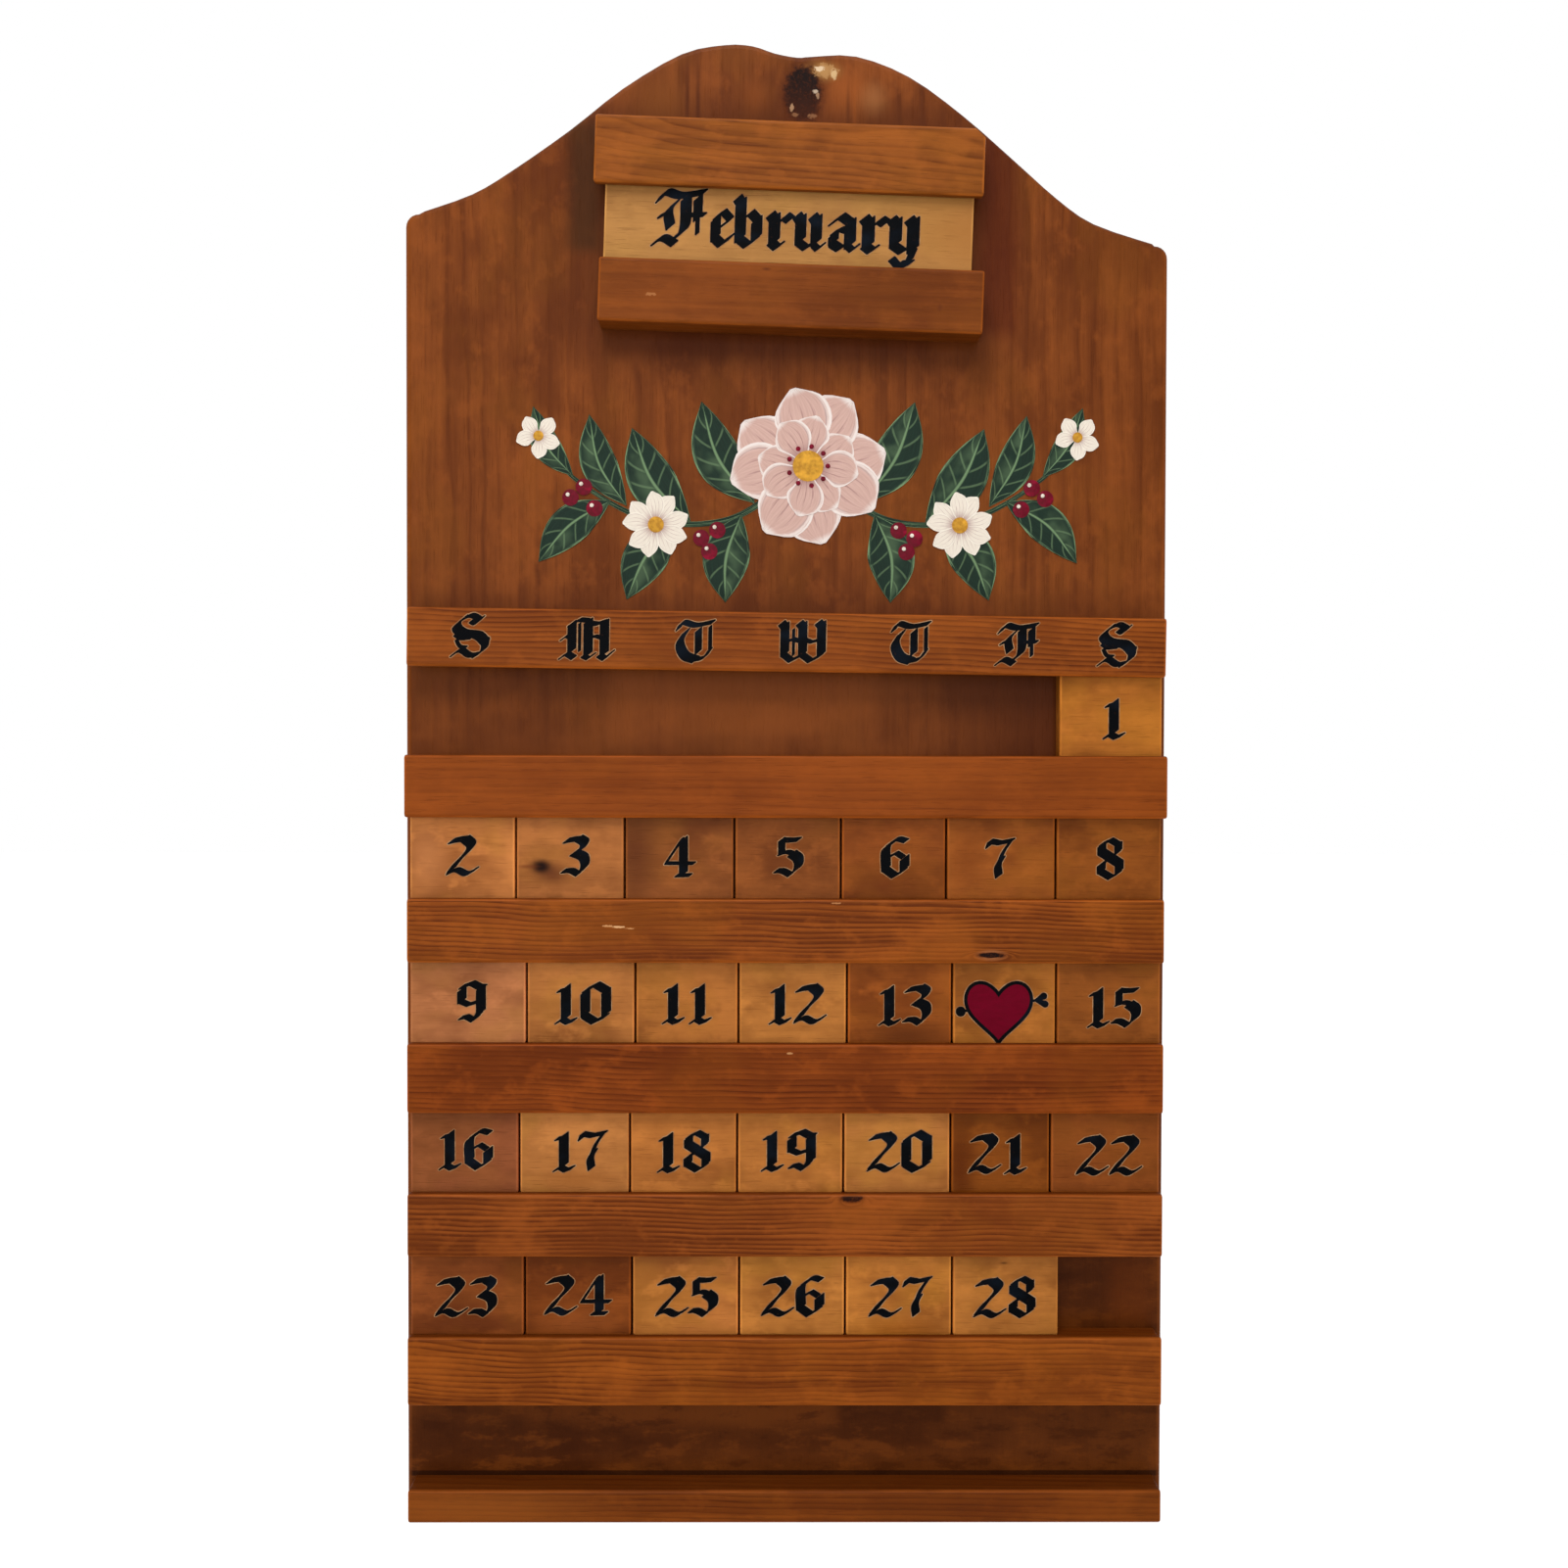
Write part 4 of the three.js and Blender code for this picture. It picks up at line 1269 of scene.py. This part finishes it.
# A dab's corners, and the steps up to its raised middle: the share of its radius that each goes inwards and
# the share of the paint's thickness that it goes up
dab_corners = 28
dab_step_shares = ((0.3, 0.8), (0.35, 0.4))


def garland_spot(spot, side=1):
    """A place in the garland, given in millimetres from its middle, on its right or its left side."""
    across, up = garland_middle
    return Vector(((across + spot[0] * side) * millimetre, (up + spot[1]) * millimetre))


def ridden(shapes, name):
    """Joins a group of strokes into a piece that rides the board."""
    piece = join_shapes(shapes, name)
    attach(piece, "root")


def petals(middle, round_of_petals, material):
    inner, outer, width, count, turn, layer = round_of_petals
    made = []
    for k in range(count):
        ahead = towards(turn + math.tau * k / count)
        aside = square_to(ahead) * outer * petal_bow_share * (1 if k % 2 else -1)
        bent = middle + ahead * (inner + outer) / 2 + aside
        spine = (middle + ahead * inner, bent, middle + ahead * outer)
        widths = [w * width for w in petal_width_shares]
        made.append(brush_stroke(spine, widths, layer + k % 3, material, *petal_grid))
    return made


def garland_disc(middle, radius, layer, material):
    """A round dab of paint with a raised middle."""
    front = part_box("back_board")[0].y
    thick = bpy.context.scene.calendar_sizes.paint_thickness
    deselect()
    bpy.ops.mesh.primitive_circle_add(vertices=dab_corners, radius=radius, fill_type="NGON")
    dab = bpy.context.object
    bpy.ops.object.mode_set(mode="EDIT")
    bpy.ops.mesh.select_all(action="SELECT")
    raised = (0, 0, layer_thickness(layer))
    bpy.ops.mesh.extrude_region_move(TRANSFORM_OT_translate={"value": raised})
    for inward_share, upward_share in dab_step_shares:
        bpy.ops.mesh.inset(thickness=radius * inward_share, depth=thick * upward_share)
    bpy.ops.object.mode_set(mode="OBJECT")
    stand = Matrix.Translation((middle.x, front, middle.y)) @ Matrix.Rotation(math.radians(90), 4, "X")
    dab.data.transform(stand)
    dab.data.materials.append(material)
    return dab


def paint_leaves(side, green):
    """The vine and the leaves on one side of the garland."""
    vine_width = bpy.context.scene.calendar_sizes.vine_width
    vine = [garland_spot(spot, side) for spot in garland_vine]
    widths = [w * vine_width for w in vine_width_shares]
    made = [brush_stroke(vine, widths, vine_layer, green, *vine_grid)]
    for k, (foot, tip, width) in enumerate(garland_leaves):
        start, stop = garland_spot(foot, side), garland_spot(tip, side)
        run = stop - start
        bow = square_to(run) * leaf_bow_shares[(k + (side < 0)) % 2]
        widths = [w * width * millimetre for w in leaf_width_shares]
        spine = (start, start + run * 0.5 + bow, stop)
        made.append(brush_stroke(spine, widths, leaf_layer + k % 3, green, *leaf_grid))
    return made


def paint_garland(context):
    berry = context.scene.calendar_sizes.berry_radius
    green = leaf_paint()
    pink = petal_paint("pink_petal_paint", stained("petal"), stained("petal_light"), stained("petal_vein"))
    white = petal_paint(
        "white_petal_paint", stained("white"), stained("white", 1.12), stained("petal_vein", 1.3))
    red = dabbed_paint("berry_paint", "red", 2.4)
    gold = dabbed_paint("daisy_middle_paint", "yellow", 1.5)
    dot = dabbed_paint("white_dot_paint", "white", 1.1)
    leaves = []
    daisies = []
    berries = []
    lights = []
    middles = []
    for side in (1, -1):
        leaves += paint_leaves(side, green)
        daisy = garland_spot(garland_daisy, side)
        daisies += petals(daisy, daisy_petals, white)
        middles.append(garland_disc(daisy, *daisy_middle, gold))
        bud = garland_spot(garland_bud, side)
        daisies += petals(bud, bud_petals, white)
        middles.append(garland_disc(bud, *bud_middle, gold))
        for spot in garland_berries:
            middle = garland_spot(spot, side)
            berries.append(garland_disc(middle, berry, berry_layer, red))
            lit = middle + Vector(light_shift)
            lights.append(garland_disc(lit, berry * light_share, light_layer, dot))
    heart = garland_spot(garland_rose)
    rose = []
    for round_of_petals in rose_petals:
        rose += petals(heart, round_of_petals, pink)
    middles.append(garland_disc(heart, *rose_middle, gold))
    for k in range(seed_count):
        seed = heart + towards(math.tau * k / seed_count) * seed_reach
        berries.append(garland_disc(seed, *seed_dot, red))
    ridden(leaves, "garland_leaves")
    ridden(rose, "garland_rose")
    ridden(daisies, "garland_daisies")
    ridden(berries, "garland_berries")
    ridden(lights, "garland_berry_lights")
    ridden(middles, "garland_flower_middles")


# The light of all that surrounds the calendar, and what is added where the camera sees it
room_light = 0.3
seen_light = 0.7


def white_floor():
    """A white floor that keeps the calendar's shadow."""
    finish = Finish("white_floor", roughness=0.9, specular_ior_level=0.1)
    seen = Number(finish, finish.node("ShaderNodeLightPath").outputs["Is Camera Ray"])
    grain = finish.noise(finish.local(), 40, 2, 2)
    finish.tint = finish.mix(grain * 0.04, shade("f4f4f4"), shade("ececec"))
    finish.feed(finish.shader.inputs["Emission Color"], (1, 1, 1))
    finish.feed(finish.shader.inputs["Emission Strength"], seen * seen_light)
    return finish.surface()


class Room(Finish):
    """The world's nodes, made the same way as a material's."""

    def __init__(self, scene):
        world = bpy.data.worlds.new("white_room")
        scene.world = world
        world.use_nodes = True
        self.nodes = world.node_tree.nodes
        self.links = world.node_tree.links
        self.shader = self.nodes["Background"]


def white_room(scene):
    """Plain soft light all round, and white where the camera or a shiny surface looks past the calendar."""
    room = Room(scene)
    path = room.node("ShaderNodeLightPath").outputs
    seen = Number(room, path["Is Camera Ray"]).most(path["Is Glossy Ray"])
    room.feed(room.shader.inputs["Color"], (1, 1, 1))
    room.feed(room.shader.inputs["Strength"], seen * seen_light + room_light)


# Each lamp's place, what it shines at, its size and its power
lamps = {
    "front_light": ((-0.15, -1.5, 0.15), (0, 0, 0), 1.1, 7.5),
    "high_light": ((-0.1, -0.85, 1.15), (0, 0, 0.05), 0.8, 13),
}

# The floor's size and its gap under the board, then the camera's place, turn in degrees and lens
floor_size = 8
floor_gap = 0.0002
camera_place = (-0.00403, -0.59682, 0.00854)
camera_turn = (89.0368, -0.1234, -0.3210)
camera_sensor = 36
camera_lens = 35.2586


def soft_lamp(name, place, aim, size, power):
    deselect()
    direction = Vector(aim) - Vector(place)
    turn = direction.to_track_quat("-Z", "Y").to_euler()
    bpy.ops.object.light_add(type="AREA", location=place, rotation=turn)
    lamp = bpy.context.object
    lamp.name = name
    lamp.data.shape = "SQUARE"
    lamp.data.size = size
    lamp.data.energy = power


def set_stage(context):
    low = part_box("back_board")[0]
    deselect()
    bpy.ops.mesh.primitive_plane_add(size=floor_size, location=(0, 0, low.z - floor_gap))
    floor = bpy.context.object
    floor.name = "floor"
    bpy.ops.object.transform_apply(location=True, rotation=True, scale=True)
    floor.data.materials.append(white_floor())
    for name, values in lamps.items():
        soft_lamp(name, *values)
    deselect()
    bpy.ops.object.camera_add(location=camera_place, rotation=[math.radians(v) for v in camera_turn])
    camera = bpy.context.object
    camera.name = "photo_camera"
    camera.data.sensor_width = camera_sensor
    camera.data.lens = camera_lens
    context.scene.camera = camera
    context.scene.view_settings.view_transform = "Standard"
    white_room(context.scene)


class StainBoard(bpy.types.Operator):
    """Stains and varnishes the back board"""

    bl_idname = "calendar.stain_board"
    bl_label = "Back board"

    def execute(self, context):
        stain_board(context)
        return {"FINISHED"}


class StainRails(bpy.types.Operator):
    """Stains the month rails, the weekday rail, the week rails and the ledge"""

    bl_idname = "calendar.stain_rails"
    bl_label = "Rails"

    def execute(self, context):
        stain_rails(context)
        return {"FINISHED"}


class StainTiles(bpy.types.Operator):
    """Varnishes the day tiles, each in its own tone"""

    bl_idname = "calendar.stain_tiles"
    bl_label = "Day tiles"

    def execute(self, context):
        stain_tiles(context)
        return {"FINISHED"}


class StainPlate(bpy.types.Operator):
    """Varnishes the month plate"""

    bl_idname = "calendar.stain_plate"
    bl_label = "Month plate"

    def execute(self, context):
        stain_plate(context)
        return {"FINISHED"}


class FinishHanger(bpy.types.Operator):
    """Gives the hanger and its nails their steel"""

    bl_idname = "calendar.finish_hanger"
    bl_label = "Hanger"

    def execute(self, context):
        finish_hanger(context)
        return {"FINISHED"}


class PaintNumbers(bpy.types.Operator):
    """Paints the day numbers on their tiles"""

    bl_idname = "calendar.paint_numbers"
    bl_label = "Day numbers"

    def execute(self, context):
        paint_numbers(context)
        return {"FINISHED"}


class PaintHeart(bpy.types.Operator):
    """Paints the heart and its arrow on the fourteenth tile"""

    bl_idname = "calendar.paint_heart"
    bl_label = "Heart"

    def execute(self, context):
        paint_heart(context)
        return {"FINISHED"}


class PaintWeekdays(bpy.types.Operator):
    """Paints the weekday letters on their rail"""

    bl_idname = "calendar.paint_weekdays"
    bl_label = "Weekday letters"

    def execute(self, context):
        paint_weekdays(context)
        return {"FINISHED"}


class PaintMonth(bpy.types.Operator):
    """Paints the name of the month on its plate"""

    bl_idname = "calendar.paint_month"
    bl_label = "Month's name"

    def execute(self, context):
        paint_month(context)
        return {"FINISHED"}


class PaintGarland(bpy.types.Operator):
    """Paints the garland of leaves, daisies and berries on the board"""

    bl_idname = "calendar.paint_garland"
    bl_label = "Garland"

    def execute(self, context):
        paint_garland(context)
        return {"FINISHED"}


class SetStage(bpy.types.Operator):
    """Adds the floor, the soft light, the white room and the camera"""

    bl_idname = "calendar.set_stage"
    bl_label = "Stage"

    def execute(self, context):
        set_stage(context)
        return {"FINISHED"}


steps = (
    StainBoard, StainRails, StainTiles, StainPlate, FinishHanger, PaintNumbers, PaintHeart, PaintWeekdays,
    PaintMonth, PaintGarland, SetStage)


class CalendarPanel(bpy.types.Panel):
    """Lists the calendar's colours, sizes and steps"""

    bl_idname = "VIEW3D_PT_calendar"
    bl_label = "Wall calendar"
    bl_space_type = "VIEW_3D"
    bl_region_type = "UI"
    bl_category = "Calendar"

    def draw(self, context):
        for group in (context.scene.calendar_colours, context.scene.calendar_sizes):
            column = self.layout.column()
            for name in group.__annotations__:
                column.prop(group, name)
        column = self.layout.column()
        for step in steps:
            column.operator(step.bl_idname)


classes = (CalendarSizes, CalendarColours, *steps, CalendarPanel)


def register():
    for kind in classes:
        bpy.utils.register_class(kind)
    bpy.types.Scene.calendar_sizes = PointerProperty(type=CalendarSizes)
    bpy.types.Scene.calendar_colours = PointerProperty(type=CalendarColours)


def unregister():
    del bpy.types.Scene.calendar_colours
    del bpy.types.Scene.calendar_sizes
    for kind in reversed(classes):
        bpy.utils.unregister_class(kind)


def main():
    register()
    for step in steps:
        family, name = step.bl_idname.split(".")
        getattr(getattr(bpy.ops, family), name)()


if __name__ == "__main__":
    main()
